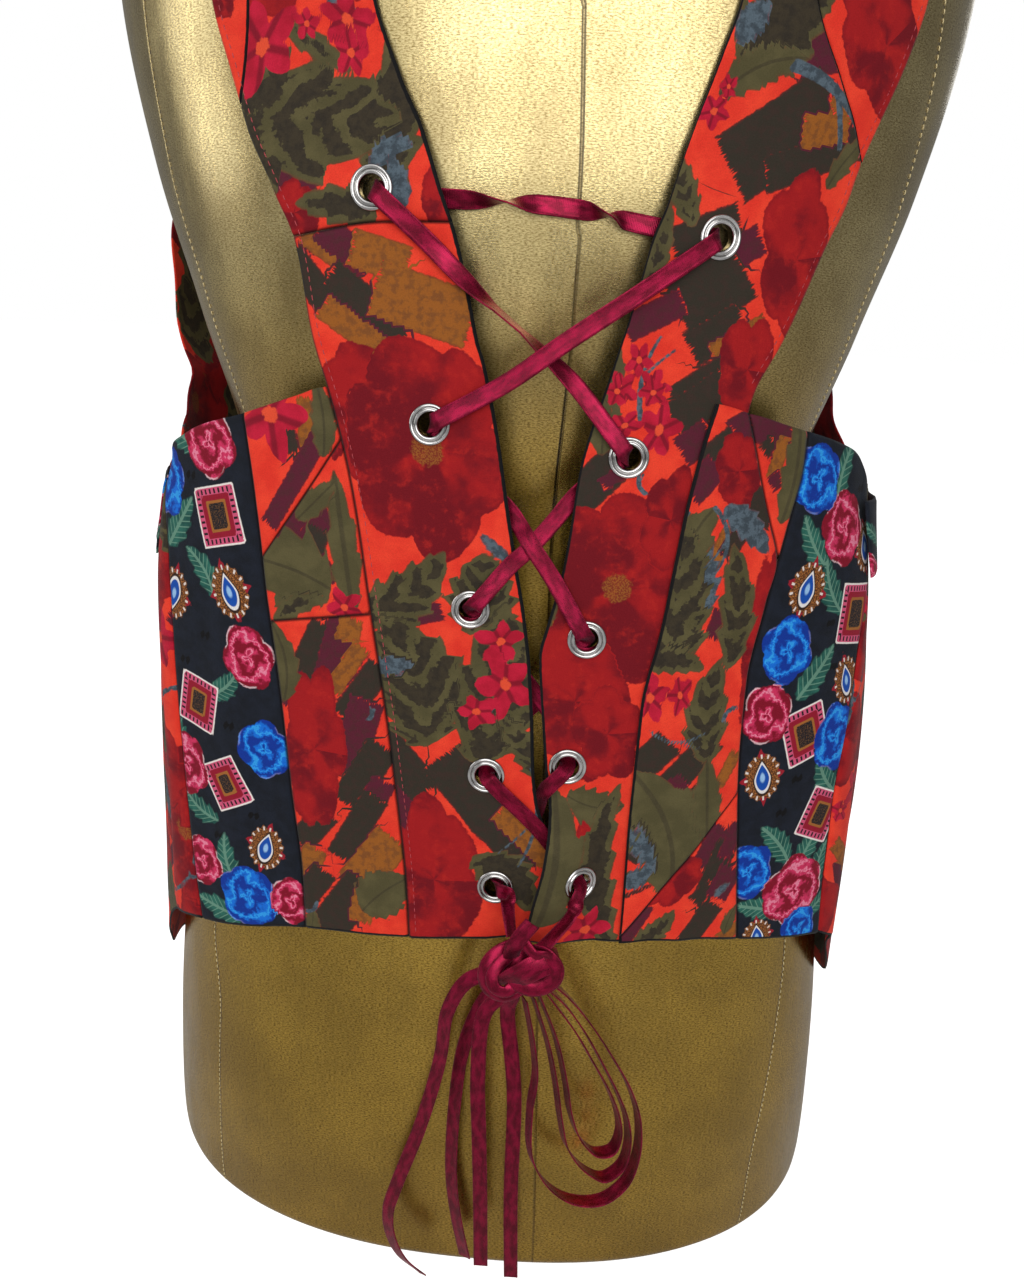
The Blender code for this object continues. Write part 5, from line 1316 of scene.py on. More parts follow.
def make_cloth(piece, chart, seats, materials):
    """A fine shell of a cut piece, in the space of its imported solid."""
    left, right, bottom, top = piece.edges
    t = np.linspace(0, 1, 60)

    def run_of(edge):
        where = edge(t)
        points = cloth(where[:, 0], where[:, 1])
        return np.linalg.norm(np.diff(points, axis=0), axis=1).sum()

    columns = 2 + int((run_of(bottom) + run_of(top)) / 2 / piece.step)
    rows = 2 + int((run_of(left) + run_of(right)) / 2 / piece.step)
    turn, height = patch(left, right, bottom, top, np.linspace(0, 1, columns),
                         np.linspace(0, 1, rows))

    def raised(a, b):
        return cloth(a, b, piece.lift + piece.rise(a, b) + soft_rise(a, b))

    base = edge_trimmed(raised(turn, height))
    facing = outward(raised, turn, height)

    from_left, from_right = along_rows(base)
    from_bottom, from_top = (d.T for d in along_rows(np.swapaxes(base, 0, 1)))
    edges = dict(zip("lrbt", (from_left, from_right, from_bottom, from_top)))
    kinds = dict(zip("lrbt", piece.sides))
    nearest = {}
    for kind in "sel":
        distances = [edges[side] for side in "lrbt" if kinds[side] == kind]
        nearest[kind] = np.min(distances, axis=0) if distances else np.full(turn.shape, FAR)
    sewn = np.exp(-(nearest["s"] / SEAM_SPREAD) ** 2)
    cut = np.exp(-(np.minimum(nearest["e"], nearest["l"]) / EDGE_SPREAD) ** 2)
    outer = base + facing * (CLOTH - SEAM_DIP * sewn - EDGE_DIP * cut)[..., None]
    inner = base + facing * (CLOTH - SHELL + EDGE_DIP_INSIDE * cut)[..., None]

    keep = np.ones((rows - 1, columns - 1), bool)
    middle = (base[:-1, :-1] + base[1:, 1:]) / 2
    for centre, _ in seats:
        keep &= np.linalg.norm(middle - centre, axis=2) > EYELET_HOLE

    held, round_at, up_at = printed(motifs_on(piece.name), turn, height, chart)
    held["seam"] = np.stack([np.minimum(nearest["s"], FAR), nearest["l"], 0 * turn], -1)
    both = {}
    for key, numbers in held.items():
        both[key] = np.concatenate([numbers.reshape(-1, 3)] * 2)
    faces = grid_faces(columns, keep)
    walls = rim_faces(rows, columns, keep)
    under = grid_faces(columns, keep, rows * columns, flip=True)
    slots = [0] * len(faces) + [1] * (len(walls) + len(under))
    points = np.concatenate([outer.reshape(-1, 3), inner.reshape(-1, 3)])
    made = add_mesh(piece.name + "_cloth", points, faces + walls + under, materials, slots, both)
    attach(made, "root")
    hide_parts(piece.name)
    piece.look + "_print"
    width, length = cut_size(round_at, up_at)
    cell = np.linalg.norm(np.cross(base[1:, :-1] - base[:-1, :-1], base[:-1, 1:] - base[:-1, :-1]),
                          axis=2)


# Eyelets and lace

def eyelet_seat(eyelet, rise):
    """Centre of an eyelet, in the middle of the cloth, and the way that it faces."""
    turn, height = np.array(eyelet.turn), np.array(eyelet.height)

    def raised(a, b):
        return cloth(a, b, CLOTH / 2 + rise(a, b))

    reach_turn, reach_height = 1.2, 5.0
    along = raised(turn + reach_turn, height) - raised(turn - reach_turn, height)
    upward = raised(turn, height + reach_height) - raised(turn, height - reach_height)
    ends = [raised(turn + a, height + b) for a, b in
            ((reach_turn, 0), (-reach_turn, 0), (0, reach_height), (0, -reach_height))]
    centre = (raised(turn, height) + np.mean(ends, axis=0)) / 2
    return centre, unit(np.cross(along, upward))


def arc(centre, radius, first, last, parts):
    """Places on part of a circle, its angles in degrees."""
    return [(centre[0] + radius * math.cos(math.radians(a)),
             centre[1] + radius * math.sin(math.radians(a)))
            for a in np.linspace(first, last, parts)]


def make_eyelet(name, seat, finish):
    """A rolled ring clenched through the cloth, turned on a fine profile."""
    face = CLOTH / 2 + GAP
    profile = [(4.0, -1.9), (6.1, -1.9), (6.3, -1.6), (6.3, -1.4), (4.6, -1.3), (4.6, face)]
    profile += [(6.7, face)] + arc((6.2, face + 0.4), 0.7, -30, 90, 7) + [(5.75, face + 1.0)]
    profile += [(5.45, face + 0.45), (5.25, face + 0.48)] + arc((4.72, face + 0.35), 0.72, 30, 180, 10)
    sides = 72
    points = []
    for k in range(sides):
        angle = 2 * math.pi * k / sides
        points += [(r * math.cos(angle), r * math.sin(angle), z) for r, z in profile]
    faces = joined_rings(sides, len(profile), flip=True, closed=True)
    made = add_mesh(name + "_ring", points, faces, [finish])
    spin = Vector(seat[1]).to_track_quat("Z", "Y").to_matrix().to_4x4()
    made.data.transform(Matrix.Translation(Vector(seat[0]) * MM) @ spin)
    made.data.set_sharp_from_angle(angle=math.radians(60))
    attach(made, "root")
    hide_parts(name)


# A ribbon's stitched edge: how far in from it, and the share of the ribbon's half thickness
RIBBON_EDGE = [(0.0, 0.5), (0.25, 1.0), (0.7, 0.8)]
RIBBON_FLAT = 0.75


def ribbon_section(half, thick):
    """A ribbon's outline, half its width to each side, from its lower left corner round."""
    left = [(-half + inset, rise * thick) for inset, rise in RIBBON_EDGE]
    left.append((-half / 2, RIBBON_FLAT * thick))
    top = left + [(0.0, RIBBON_FLAT * thick)] + [(-a, b) for a, b in left[::-1]]
    under = [(a, -b) for a, b in top[::-1]]
    return under[-1:] + top + under[:-1]


def ribbon_mesh(name, route, samples, finish, width=RIBBON_WIDTH, cup=0.0):
    """A ribbon along a route, a little thicker at its stitched edges, and its middle line."""
    points = np.array([point for point, across in route], float)
    across = np.array([across for point, across in route], float)
    track, share, place = curve_through(points, samples)
    ahead = unit(np.gradient(track, axis=0))
    wide = np.stack([np.interp(share, place, across[:, k]) for k in range(3)], -1)
    wide = unit(wide - ahead * np.sum(wide * ahead, axis=1, keepdims=True))
    face = np.cross(ahead, wide)
    half = width / 2
    section = ribbon_section(half, RIBBON_THICK / 2)
    rings = np.stack([track + wide * a + face * (b + cup * (1 - (a / half) ** 2))
                      for a, b in section], axis=1)
    count, ring = len(track), len(section)
    run = run_along(track)
    faces = joined_rings(count, ring, flip=True)
    faces.append(list(range(ring)))
    faces.append([ring * (count - 1) + k for k in range(ring)][::-1])
    held = {"where": np.stack([np.repeat(run, ring), np.tile([a for a, b in section], count),
                               np.zeros(count * ring)], -1)}
    made = add_mesh(name, rings.reshape(-1, 3), faces, [finish], held=held)
    made.data.set_sharp_from_angle(angle=math.radians(70))
    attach(made, "root")
    return made, track, float(run[-1])


def curve_through(points, samples):
    """Smooth samples along a route, evenly spaced, through its own points."""
    p = np.asarray(points, float)
    steps = np.linalg.norm(np.diff(p, axis=0), axis=1) ** 0.5
    place = np.concatenate([[0.0], np.cumsum(steps)])
    before = np.vstack([2 * p[0] - p[1], p, 2 * p[-1] - p[-2]])
    knots = np.concatenate([[-steps[0]], place, [place[-1] + steps[-1]]])
    fine = np.linspace(0, place[-1], 40 * len(p))
    i = np.clip(np.searchsorted(place, fine, side="right"), 1, len(place) - 1)
    t0, t1, t2, t3 = (knots[i + k][:, None] for k in (-1, 0, 1, 2))
    p0, p1, p2, p3 = (before[i + k] for k in (-1, 0, 1, 2))
    t = fine[:, None]
    a1 = (t1 - t) / (t1 - t0) * p0 + (t - t0) / (t1 - t0) * p1
    a2 = (t2 - t) / (t2 - t1) * p1 + (t - t1) / (t2 - t1) * p2
    a3 = (t3 - t) / (t3 - t2) * p2 + (t - t2) / (t3 - t2) * p3
    b1 = (t2 - t) / (t2 - t0) * a1 + (t - t0) / (t2 - t0) * a2
    b2 = (t3 - t) / (t3 - t1) * a2 + (t - t1) / (t3 - t1) * a3
    track = (t2 - t) / (t2 - t1) * b1 + (t - t1) / (t2 - t1) * b2
    length = run_along(track)
    at = np.interp(np.linspace(0, place[-1], samples), fine, length)
    sampled = np.stack([np.interp(at, length, track[:, k]) for k in range(3)], -1)
    share = np.interp(at, length, fine) / place[-1]
    return sampled, share, place / place[-1]


# The lace's way from the knot, up through the eyelets and down again. Each stretch between two
# eyelets lists its own places: turn, height and how far it stands above the cloth's inner face.
# A fourth number twists the ribbon there, in degrees. Free places are x, y, z with their twist,
# and at a slit the ribbon passes edge-on between the two bands.
Through = namedtuple("Through", "name enters leaves")
FRONT, BEHIND = 1.0, -1.0
LACE = [
    [("free", (12.1, -134.0, 186.0), 60), ("free", (9.8, -127.5, 196.0), 55)],
    Through("eyelet_left_5", FRONT, BEHIND),
    [(2.8, 213, -2.9), ("slit", 4.2, 227.5, -3.6), ("slit", 4.7, 237.5, 1.3), (5.5, 242.6, 4.1)],
    Through("eyelet_right_4", FRONT, BEHIND),
    [(6.0, 262, -3.2), (1.5, 287, -3.4)],
    Through("eyelet_left_3", BEHIND, FRONT),
    [(1.7, 322.8, 2.6), (2.7, 326.7, 2.4), (3.8, 331, 0.8), (5.6, 338.2, -1.1), (8.0, 347.5, -1.9)],
    Through("eyelet_right_2", BEHIND, FRONT),
    [(7.9, 383.3, 2.8, 15), (4.4, 394, 2.5, 60), (2.6, 399.5, 2.5, 80), (0.6, 406, 2.9, 75),
     (-1.2, 414.5, 3.6, 30), (-4.2, 424.7, 4.2, 0)],
    Through("eyelet_left_1", FRONT, BEHIND),
    [(-5.5, 438.5, -1.7, 0), (-1.6, 438, -1.6, 15), (0.8, 437.6, 0.6, 90), (3.5, 437.5, -1.2, 165),
     (7.6, 436.5, -1.2, 185), (10.6, 435, 0.4, 265), (12.8, 434, -1.6, 345),
     (16.5, 432.5, -1.8, 360)],
    Through("eyelet_right_1", BEHIND, FRONT),
    [(15.0, 413, 5.4), (7.0, 397, 6.0), (1.5, 383, 4.6)],
    Through("eyelet_left_2", FRONT, BEHIND),
    [(-0.6, 351.5, -2.7), (1.4, 341, -2.5), (2.3, 336, -1.2), (3.3, 330.4, 2.7), (5.4, 318.6, 3.4)],
    Through("eyelet_right_3", FRONT, BEHIND),
    [(5.5, 277, -4.8), (2.0, 262, -4.8)],
    Through("eyelet_left_4", BEHIND, FRONT),
    [(4.2, 224, 3.2), (6.2, 214, 2.4)],
    Through("eyelet_right_5", BEHIND, FRONT),
    [("free", (34.0, -128.5, 194.0), 70), ("free", (27.0, -134.0, 186.5), 70),
     ("free", (23.0, -137.0, 183.0), 60)],
]


def leaned(across, ahead, angle):
    """The way a ribbon's width lies, turned about the way it runs."""
    angle = math.radians(angle)
    return across * math.cos(angle) + np.cross(ahead, across) * math.sin(angle)


# On the way to an eyelet: how far from its centre, and how far off its plane
EYELET_WAY = [(5.4, 3.5), (2.2, 3.1)]
SLIT_LAY = (0.68, -0.73, 0.0)


def lace_stops():
    """Each place on the lace's way, with its kind and its twist."""
    stops = []
    for item in LACE:
        if isinstance(item, Through):
            stops.append(("through", item, 0))
            continue
        for row in item:
            if row[0] == "free":
                stops.append(("over", np.array(row[1]), row[2]))
            elif row[0] == "slit":
                stops.append(("slit", cloth(*row[1:]), 0))
            else:
                stops.append(("over", cloth(*row[:3]), row[3] if len(row) > 3 else 0))
    return stops


def lace_route(seats):
    """The lace's points and the way its width lies at each."""
    stops = lace_stops()
    centre_of = [seats[item.name][0] if kind == "through" else item for kind, item, _ in stops]
    route = []
    lay = None
    for i, (kind, item, spin) in enumerate(stops):
        here = centre_of[i]
        if kind == "slit":
            lay = unit(np.array(SLIT_LAY)) * (1 if lay[0] > 0 else -1)
            route.append((here, lay))
            continue
        if kind == "over":
            before, after = centre_of[max(i - 1, 0)], centre_of[min(i + 1, len(stops) - 1)]
            ahead = unit(after - before)
            facing = unit(np.array([here[0] * 0.4, -100.0, 0.0]))
            across = unit(np.cross(facing, ahead))
            across = across if lay is None or across @ lay > 0 else -across
            lay = across
            route.append((here, leaned(across, ahead, spin)))
            continue
        centre, facing = seats[item.name]
        if item is not LACE[1]:
            lay = route[-1][1]

        def level(vector):
            return unit(vector - facing * (vector @ facing))

        into, out = level(centre - centre_of[i - 1]), level(centre_of[i + 1] - centre)
        first, second = np.cross(facing, into), np.cross(facing, out)
        first = first if first @ lay > 0 else -first
        second = second if first @ second > 0 else -second
        for back, rise in EYELET_WAY:
            route.append((centre - into * back + facing * item.enters * rise, first))
        route.append((centre, unit(first + second)))
        for ahead, rise in EYELET_WAY[::-1]:
            route.append((centre + out * ahead + facing * item.leaves * rise, second))
        lay = second
    return route


# What hangs from the knot: middle of the ribbon, and the way its width lies
SIDEWAYS, DEEP, ANGLED = (1.0, 0.0, 0.0), (0.5, -1.0, 0.0), (1.0, -0.55, 0.0)
HANGING = {
    "tail_1": (ANGLED, [(1.0, -130.5, 166), (-4.5, -129, 160.5), (-11.5, -127.5, 145), (-14, -127, 122),
                        (-21.5, -127, 87), (-31, -127, 55), (-34.5, -127, 40), (-33.5, -127, 27),
                        (-28.5, -127, 15), (-19, -127, 6.0)]),
    "tail_2": (ANGLED, [(7.5, -127.5, 157), (2.6, -125.5, 150), (-4.5, -123.5, 128),
                        (-7.6, -123.5, 103), (-8.5, -124, 61), (-5.8, -124, 37), (-1.5, -124, 15)]),
    "tail_3": (SIDEWAYS, [(8.6, -133, 156.6), (3.5, -132.5, 150), (1.6, -131.5, 120),
                          (3.0, -131, 89), (4.6, -130.5, 55), (6.0, -130, 18)]),
    "tail_4": (SIDEWAYS, [(13.5, -129.5, 155), (11.8, -126.5, 147), (14.2, -125.5, 125),
                          (16.2, -125, 104), (17.0, -125, 53), (19.0, -125, 7)]),
    "loop_1": (DEEP, [(18.2, -131, 156.2), (22, -131, 138), (24, -131, 122), (22.8, -131, 104),
                      (24.5, -131, 80), (33, -131, 65.5), (43, -131, 60), (54, -131, 61.5),
                      (63, -131, 72), (66.5, -131, 88), (65.5, -131, 105), (61, -131, 119),
                      (54, -131, 132), (43, -131, 149), (34, -131, 160), (27, -131, 166.5)]),
    "loop_2": (DEEP, [(21.2, -131, 157.6), (28, -131, 137), (32, -131, 119), (35, -131, 101),
                      (38.5, -131, 87), (46, -131, 77), (54, -131, 73.5), (60.5, -131, 80),
                      (62.5, -131, 92), (61, -131, 104), (56.5, -131, 116), (50, -131, 129),
                      (40.5, -131, 146), (32, -131, 157.5), (26.2, -131, 162.8)]),
    "loop_3": (DEEP, [(23.2, -131, 159.4), (31, -131, 139.5), (35.8, -131, 120), (38.8, -131, 104),
                      (43.5, -131, 92), (50, -131, 86), (56, -131, 87.5), (58.6, -131, 96),
                      (57.2, -131, 106), (52.6, -131, 118), (46, -131, 130), (38, -131, 144),
                      (25.8, -131, 161.0)]),
}


def make_lacing(seats, satin, steel):
    for name, seat in seats.items():
        make_eyelet(name, seat, steel)
    lace, _, _ = ribbon_mesh("lace_ribbon", lace_route(seats), LACE_SAMPLES, satin)
    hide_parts("lace")
    for name, (across, points) in HANGING.items():
        points = [np.array(point, float) for point in points]
        points[0] = beside_knot(points[0])
        if name.startswith("loop"):
            points[-1] = beside_knot(points[-1])
        route = [(point, across) for point in points]
        samples = HANGING_SAMPLES * len(points)
        made, track, length = ribbon_mesh(name + "_ribbon", route, samples, satin)
        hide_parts(name)
        every = track[::CORD_STEP]
        if len(every) < 3 or np.linalg.norm(every[-1] - track[-1]) > 0.5:
            every = np.vstack([every, track[-1:]])
        (track[0] * MM).tolist()
        length * MM
        (every * MM).tolist()


def knot_point(tilt, angle, swell=1.0):
    """A place on the knot; tilt is 0 at its bottom and pi at its top."""
    lump = 1 + 0.05 * math.sin(3 * angle + 2.4 * tilt)
    offset = np.array([math.sin(tilt) * math.cos(angle) * lump,
                       math.sin(tilt) * math.sin(angle) * lump, -math.cos(tilt)])
    return np.array(KNOT_CENTRE) + offset * np.array(KNOT_RADII) * swell


def beside_knot(point):
    """The place just clear of the knot on the way to a point."""
    away = np.array(point, float) - np.array(KNOT_CENTRE)
    scaled = unit(away / np.array(KNOT_RADII))
    surface = knot_point(math.acos(-scaled[2]), math.atan2(scaled[1], scaled[0]))
    return surface + unit(away) * 3 * GAP


# Wraps of the knot: width, then x, y, z and lean of each place; a lean of 90 is edge-on
Wrap = namedtuple("Wrap", "name width places")
WRAPS = [
    Wrap("tail_end", 6.2, [(12.5, -136, 178.7, 20), (13.3, -139, 184.8, 0), (16, -139.8, 190.6, -5),
                           (19.8, -139.3, 196, 0)]),
    Wrap("across", 9.5, [(8.3, -133, 164.1, 45), (11.3, -138, 169.5, 20), (16.3, -141.5, 174.8, 0),
                         (21.7, -141.8, 179.1, -10), (26.7, -139, 180.6, -35),
                         (29.8, -134.5, 177.5, -70)]),
    Wrap("right", 6.2, [(21.3, -136.5, 183.3, 30), (26, -139.5, 182.9, 10), (29, -140.8, 179.1, 0),
                        (29, -141, 174.5, 0), (26, -140.6, 170.6, 10), (20.6, -140.4, 168.7, 15),
                        (15.6, -139, 169.8, 20), (11.3, -135.5, 172.9, 40)]),
    Wrap("left_outer", 6.2, [(13.7, -133, 181.8, 0), (8.3, -135.5, 179.8, 10),
                             (4.4, -137, 175.6, 20), (3.3, -138, 170.2, 20),
                             (5.2, -138.6, 165.6, 10), (9.8, -139, 163.7, 0),
                             (14.4, -138.4, 165.6, -10), (17.9, -136, 168.3, -30)]),
    Wrap("left_inner", 5, [(11.3, -135.5, 178.7, 10), (7.5, -138.4, 175.2, 10), (6, -139.6, 171, 10),
                           (7.5, -140, 167.2, 0), (11, -140, 166, 0), (14.4, -139, 167.9, -20)]),
    Wrap("small", 4.6, [(17.5, -138.5, 186.4, 0), (21.3, -140.8, 183.7, 0),
                        (24.8, -140.6, 184.1, 20), (26.7, -138.6, 180.6, 50)]),
]


def make_knot(satin):
    """The knot, as a core and wraps of ribbon laid round it."""
    rings, around = 26, 40
    points = []
    for i in range(rings):
        tilt = math.pi * (i + 0.5) / rings
        points += [knot_point(tilt, 2 * math.pi * k / around, KNOT_CORE) for k in range(around)]
    faces = joined_rings(rings, around)
    faces.append(list(range(around))[::-1])
    faces.append([(rings - 1) * around + k for k in range(around)])
    flat = np.array(points)
    held = {"where": np.stack([flat[:, 2] * 1.4, flat[:, 0] * 0.3, 0 * flat[:, 0]], -1)}
    core = add_mesh("knot_core", points, faces, [satin], held=held)
    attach(core, "root")
    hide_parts("knot")
    for wrap in WRAPS:
        spots = np.array([place[:3] for place in wrap.places])
        heading = unit(np.gradient(spots, axis=0))
        route = []
        for spot, ahead, place in zip(spots, heading, wrap.places):
            across = unit(np.cross((0.0, -1.0, 0.0), ahead))
            route.append((spot, leaned(across, ahead, place[3])))
        ribbon_mesh("knot_" + wrap.name, route, WRAP_SAMPLES, satin, wrap.width, WRAP_CUP)


FORM_LEFT_SEAM = [Mark(0, -44.8), Mark(100, -45.5), Mark(139, -49.8), Mark(250, -55), Mark(330, -58),
                  Mark(396, -58.5), Mark(432, -58.1), Mark(466, -56.2), Mark(496, -54.2),
                  Mark(580, -48), Mark(650, -42), Mark(668, -44), Mark(690, -62), Mark(700, -80)]
FORM_RIGHT_SEAM = [Mark(0, 45.8), Mark(32, 46.3), Mark(103, 51.5), Mark(149, 55.3), Mark(250, 62),
                   Mark(365, 68.2), Mark(392, 66.2), Mark(428, 64.7), Mark(473, 60.8),
                   Mark(504, 56.5), Mark(580, 48), Mark(650, 42), Mark(668, 44), Mark(690, 62),
                   Mark(700, 80)]
FORM_MIDDLE_SEAM = [Mark(0, 7.4), Mark(69, 6.8), Mark(139, 6.0), Mark(360, 6.6), Mark(443, 5.8),
                    Mark(491, 4.6), Mark(600, 2.5), Mark(755, 0)]
MIDDLE_SEAM_FAINT = 0.55    # taken as this far off, so that it shows less than the others


# Rings of the cover: from, to and how many heights; and the rings that close each end
Rings = namedtuple("Rings", "low high count")
FORM_RINGS = [Rings(0, 12, 9), Rings(12, 640, 158), Rings(640, 712, 46), Rings(712, 755, 18)]
CAP_RINGS = (0.97, 0.6, 0.25)


def form_seam_distance(turns, heights, run):
    """How far each place of the cover lies from its nearest seam, less than 0 on the left of it."""
    left, right, middle = (smooth(table, heights)[:, 0]
                           for table in (FORM_LEFT_SEAM, FORM_RIGHT_SEAM, FORM_MIDDLE_SEAM))
    nearest = np.full(run.shape, FAR)
    for line, faint in ((left, 0.0), (right, 0.0), (middle, MIDDLE_SEAM_FAINT),
                        (-180 - left, 0.0), (180 - right, 0.0)):
        here = np.array([np.interp(a, turns, r) for a, r in zip(line, run)])
        away = run - here[:, None]
        away += np.where(away < 0, -faint, faint)
        nearest = np.where(np.abs(away) < np.abs(nearest), away, nearest)
    return nearest


def make_form(gold):
    """The torso as fine rings, with a rolled lower edge and the seams of its cover."""
    heights = np.concatenate([[0.0]] + [np.linspace(*rings)[1:] for rings in FORM_RINGS])
    turns = np.arange(0, 360, 1.5) - 180.0
    grid = form_point(*np.meshgrid(turns, heights))
    rows, around = grid.shape[:2]
    run, _ = along_rows(grid)
    run -= run[:, [around // 2]]
    rise = along_rows(np.swapaxes(grid, 0, 1))[0].T
    seam_at = form_seam_distance(turns, heights, run)
    faces = joined_rings(rows, around)
    points = grid.reshape(-1, 3)
    held = np.stack([run, rise, seam_at], -1).reshape(-1, 3)
    for row, flip in ((0, True), (rows - 1, False)):
        centre = grid[row].mean(axis=0)
        last = row * around
        for shrink in CAP_RINGS:
            first = len(points)
            spread = (grid[row] - centre) * shrink
            points = np.vstack([points, centre + spread])
            held = np.vstack([held, np.stack([spread[:, 0], spread[:, 1], np.full(around, FAR)], -1)])
            for j in range(around):
                k = (j + 1) % around
                face = [last + j, last + k, first + k, first + j]
                faces.append(face[::-1] if flip else face)
            last = first
        middle = [last + j for j in range(around)]
        faces.append(middle[::-1] if flip else middle)
    made = add_mesh("form_cover", points, faces, [gold], held={"where": held})
    made.data.set_sharp_from_angle(angle=math.radians(55))
    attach(made, "root")
    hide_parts("form")


def tube(points, radius, sides=6):
    """Points and faces of a short thread that tapers at both ends."""
    p = np.asarray(points, float)
    ahead = unit(np.gradient(p, axis=0))
    guess = np.array([0.31, 0.27, 0.91])
    across = unit(np.cross(ahead, guess))
    other = np.cross(ahead, across)
    angles = np.arange(sides) * 2 * np.pi / sides
    taper = np.minimum(1.0, 0.35 + np.minimum(np.arange(len(p)), np.arange(len(p))[::-1]))
    rings = (p[:, None] + radius * taper[:, None, None] * (
        across[:, None] * np.cos(angles)[None, :, None]
        + other[:, None] * np.sin(angles)[None, :, None]))
    faces = joined_rings(len(p), sides)
    faces += [list(range(sides))[::-1], [(len(p) - 1) * sides + k for k in range(sides)]]
    return rings.reshape(-1, 3), faces


Stitch = namedtuple("Stitch", "length space radius")
FORM_STITCH = Stitch(1.9, 0.7, 0.28)
BAND_STITCH = Stitch(2.1, 0.8, 0.16)
STITCH_ARCH = np.array([-0.9, 0.35, 0.6, 0.35, -0.9])     # of the thread's radius


def stitches(name, lines, stitch, finish):
    """Rows of stitches along lines on a surface; each line is its points and their normals."""
    points, faces = [], []
    for track, facing in lines:
        run = run_along(track)
        for start in np.arange(0.5, run[-1] - stitch.length, stitch.length + stitch.space):
            at = start + stitch.length * np.linspace(0, 1, len(STITCH_ARCH))
            here = np.stack([np.interp(at, run, track[:, k]) for k in range(3)], -1)
            up = np.stack([np.interp(at, run, facing[:, k]) for k in range(3)], -1)
            arch = up * stitch.radius * STITCH_ARCH[:, None]
            thread_points, rings = tube(here + arch, stitch.radius)
            faces += [[len(points) + v for v in face] for face in rings]
            points += thread_points.tolist()
    made = add_mesh(name, points, faces, [finish])
    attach(made, "root")


def form_stitches(finish):
    lines = []
    for table in (FORM_LEFT_SEAM, FORM_RIGHT_SEAM):
        heights = np.linspace(3, 690, 400)
        turn = smooth(table, heights)[:, 0]
        points = form_point(turn, heights)
        lines.append((points, outward(form_point, turn, heights)))
    stitches("form_seam_stitches", lines, FORM_STITCH, finish)


def cloth_line(table, inset, low, high, rise):
    """A line on the cloth's outer face, some way from a seam in millimetres."""
    heights = np.linspace(low, high, 160)
    turn = smooth(table, heights)[:, 0]

    def raised(a, b):
        return cloth(a, b, CLOTH + rise(a, b) + soft_rise(a, b))

    for _ in range(3):
        point = raised(turn, heights)
        per_turn = np.linalg.norm(raised(turn + 0.2, heights) - point, axis=1) / 0.2
        turn = smooth(table, heights)[:, 0] + inset / per_turn
    return raised(turn, heights), outward(raised, turn, heights)


def band_stitches(finish):
    lines = [
        cloth_line(LEFT_OUTER, 3.0, 174, 680, flat_rise),
        cloth_line(RIGHT_OUTER, -3.0, 385, 678, flat_rise),
    ]
    stitches("band_topstitching", lines, BAND_STITCH, finish)


# Surroundings

FLOOR_RADIUS = 9000.0
WHITE = (1.0, 1.0, 1.0, 1.0)


def make_floor():
    """A plain pale floor, which also glows to the camera as a lit studio sweep does."""
    g = Graph("pale_floor")
    seen = g.node("ShaderNodeLightPath", "Is Camera Ray", {}, {})
    pale = g.finish(Base_Color=(0.6, 0.6, 0.6, 1.0), Roughness=0.9, Emission_Color=WHITE,
                    Emission_Strength=seen * 0.9)
    sides = 96
    ring = [(FLOOR_RADIUS * math.cos(2 * math.pi * k / sides),
             FLOOR_RADIUS * math.sin(2 * math.pi * k / sides), -0.5) for k in range(sides)]
    add_mesh("floor", ring, [list(range(sides))], [pale])


def make_world():
    """White to the camera, and soft light that is strongest from the front."""
    g = Graph("studio", bpy.data.worlds, "Background")
    seen = g.node("ShaderNodeLightPath", "Is Camera Ray", {}, {})
    front = g.ramp(g.parts(g.place("Generated"))[1], 0.1, -0.95, 0.2, 0.6)
    bpy.context.scene.world = g.finish(Color=WHITE, Strength=g.math("MAXIMUM", front, seen))


# Size is a sun's angle in degrees, or an area light's sides in metres
Light = namedtuple("Light", "name kind energy place aim size")
LIGHTS = [
    Light("sky_sun", "SUN", 0.4, (-0.6, -1.6, 3.0), (0, 0, 0.3), 50),
    Light("key", "AREA", 9.5, (0.15, -1.3, 0.75), (0, -0.1, 0.45), (1.2, 0.8)),
    Light("left_strip", "AREA", 2.5, (-1.2, -0.25, 0.62), (0, -0.05, 0.45), (0.5, 0.7)),
    Light("behind", "AREA", 5, (0.5, 1.4, 1.1), (0, 0.05, 0.35), (0.9, 0.9)),
]


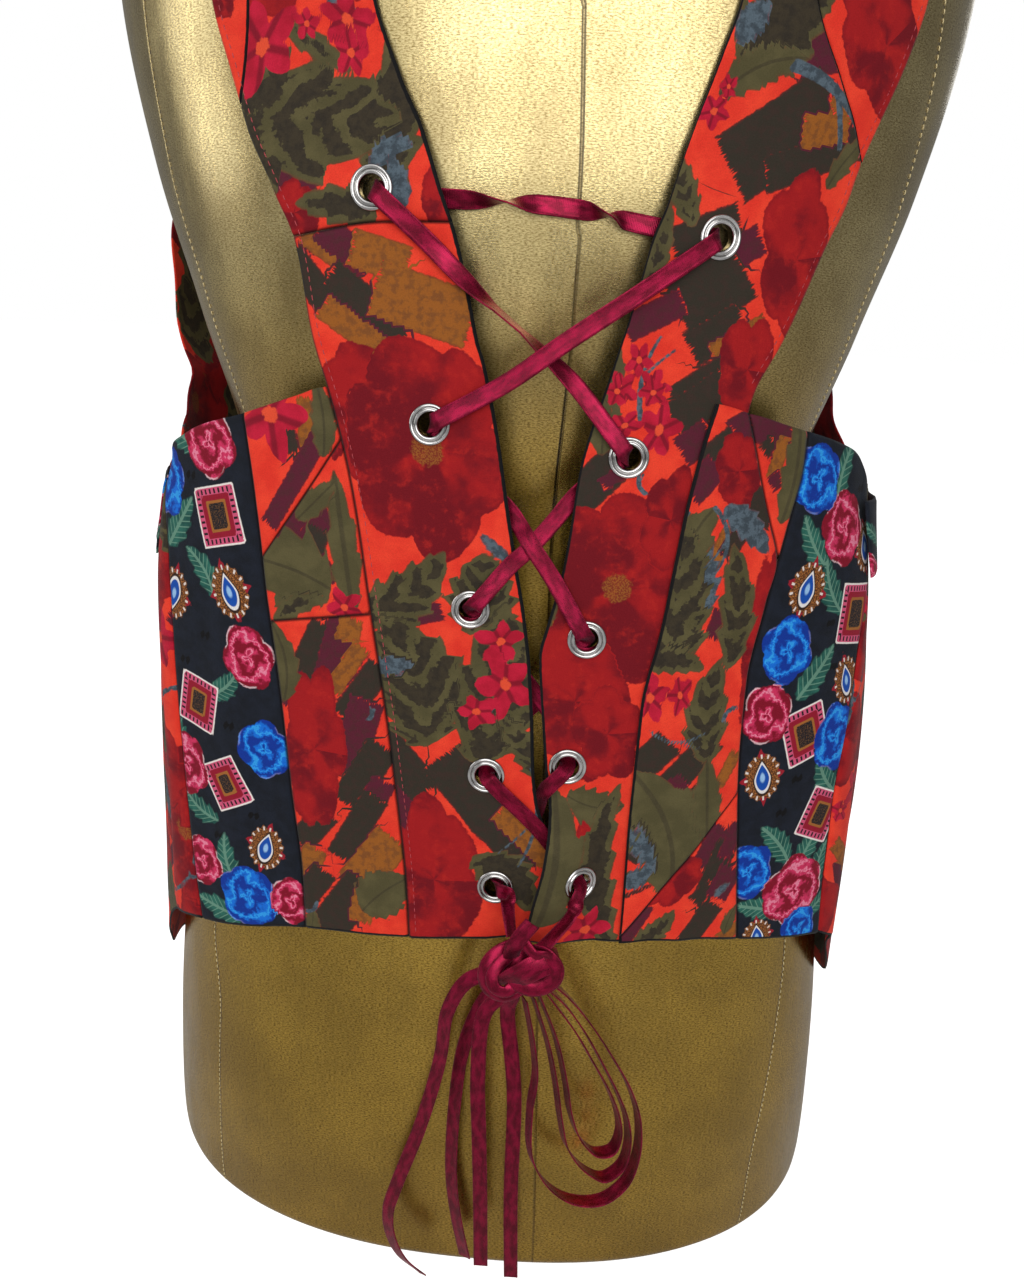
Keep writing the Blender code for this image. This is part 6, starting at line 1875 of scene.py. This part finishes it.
def make_lights():
    for row in LIGHTS:
        data = bpy.data.lights.new(row.name, row.kind)
        data.energy = row.energy
        if row.kind == "AREA":
            data.shape = "RECTANGLE"
            data.size, data.size_y = row.size
        else:
            data.angle = math.radians(row.size)
        light = bpy.data.objects.new(row.name, data)
        light.location = row.place
        toward = Vector(row.aim) - Vector(row.place)
        light.rotation_euler = toward.to_track_quat("-Z", "Y").to_euler()
        bpy.context.collection.objects.link(light)


CAMERA_PLACE = (25.4, -456.6, 412.0)
CAMERA_DOWN, CAMERA_YAW, CAMERA_ROLL = 18.879, -3.217, 2.654
CAMERA_FOCUS = 1025.0 / 1280.0      # as a share of the sensor
SENSOR = 36.0


def make_camera():
    data = bpy.data.cameras.new("camera")
    data.sensor_width = SENSOR
    data.lens = CAMERA_FOCUS * SENSOR
    data.clip_start = 0.01
    data.clip_end = 60.0
    camera = bpy.data.objects.new("camera", data)
    down, yaw, roll = (math.radians(a) for a in (CAMERA_DOWN, CAMERA_YAW, CAMERA_ROLL))
    ahead = Vector((math.sin(yaw) * math.cos(down), math.cos(yaw) * math.cos(down), -math.sin(down)))
    right = ahead.cross(Vector((0, 0, 1))).normalized()
    up = right.cross(ahead)
    level = right * math.cos(roll) + up * math.sin(roll)
    climb = up * math.cos(roll) - right * math.sin(roll)
    turn = Matrix((level, climb, -ahead)).transposed().to_4x4()
    camera.matrix_world = Matrix.Translation(Vector(CAMERA_PLACE) * MM) @ turn
    bpy.context.collection.objects.link(camera)
    bpy.context.scene.camera = camera


def main():
    make_camera()
    make_floor()
    make_world()
    make_lights()
    bpy.context.scene.view_settings.view_transform = "Standard"
    satin, steel, lining = satin_ribbon(), nickel(), lining_cloth()
    seats = {}
    for eyelets, rise in ((LEFT_EYELETS, flat_rise), (RIGHT_EYELETS, right_band_rise)):
        for eyelet in eyelets:
            seats[eyelet.name] = eyelet_seat(eyelet, rise)
    make_lacing(seats, satin, steel)
    make_knot(satin)
    scarlet, navy = scarlet_cloth(), navy_cloth()
    chart = Chart()
    for piece in pieces_of_cloth():
        cover = scarlet if piece.look == "scarlet" else navy
        under = cover if piece.name.startswith("back") else lining
        own = seats.values() if piece.name.startswith("band") else []
        make_cloth(piece, chart, own, [cover, under])
    make_form(gold_leather())
    form_stitches(thread("gold_thread", (222, 202, 150)))
    band_stitches(thread("rose_thread", (196, 70, 78)))


main()
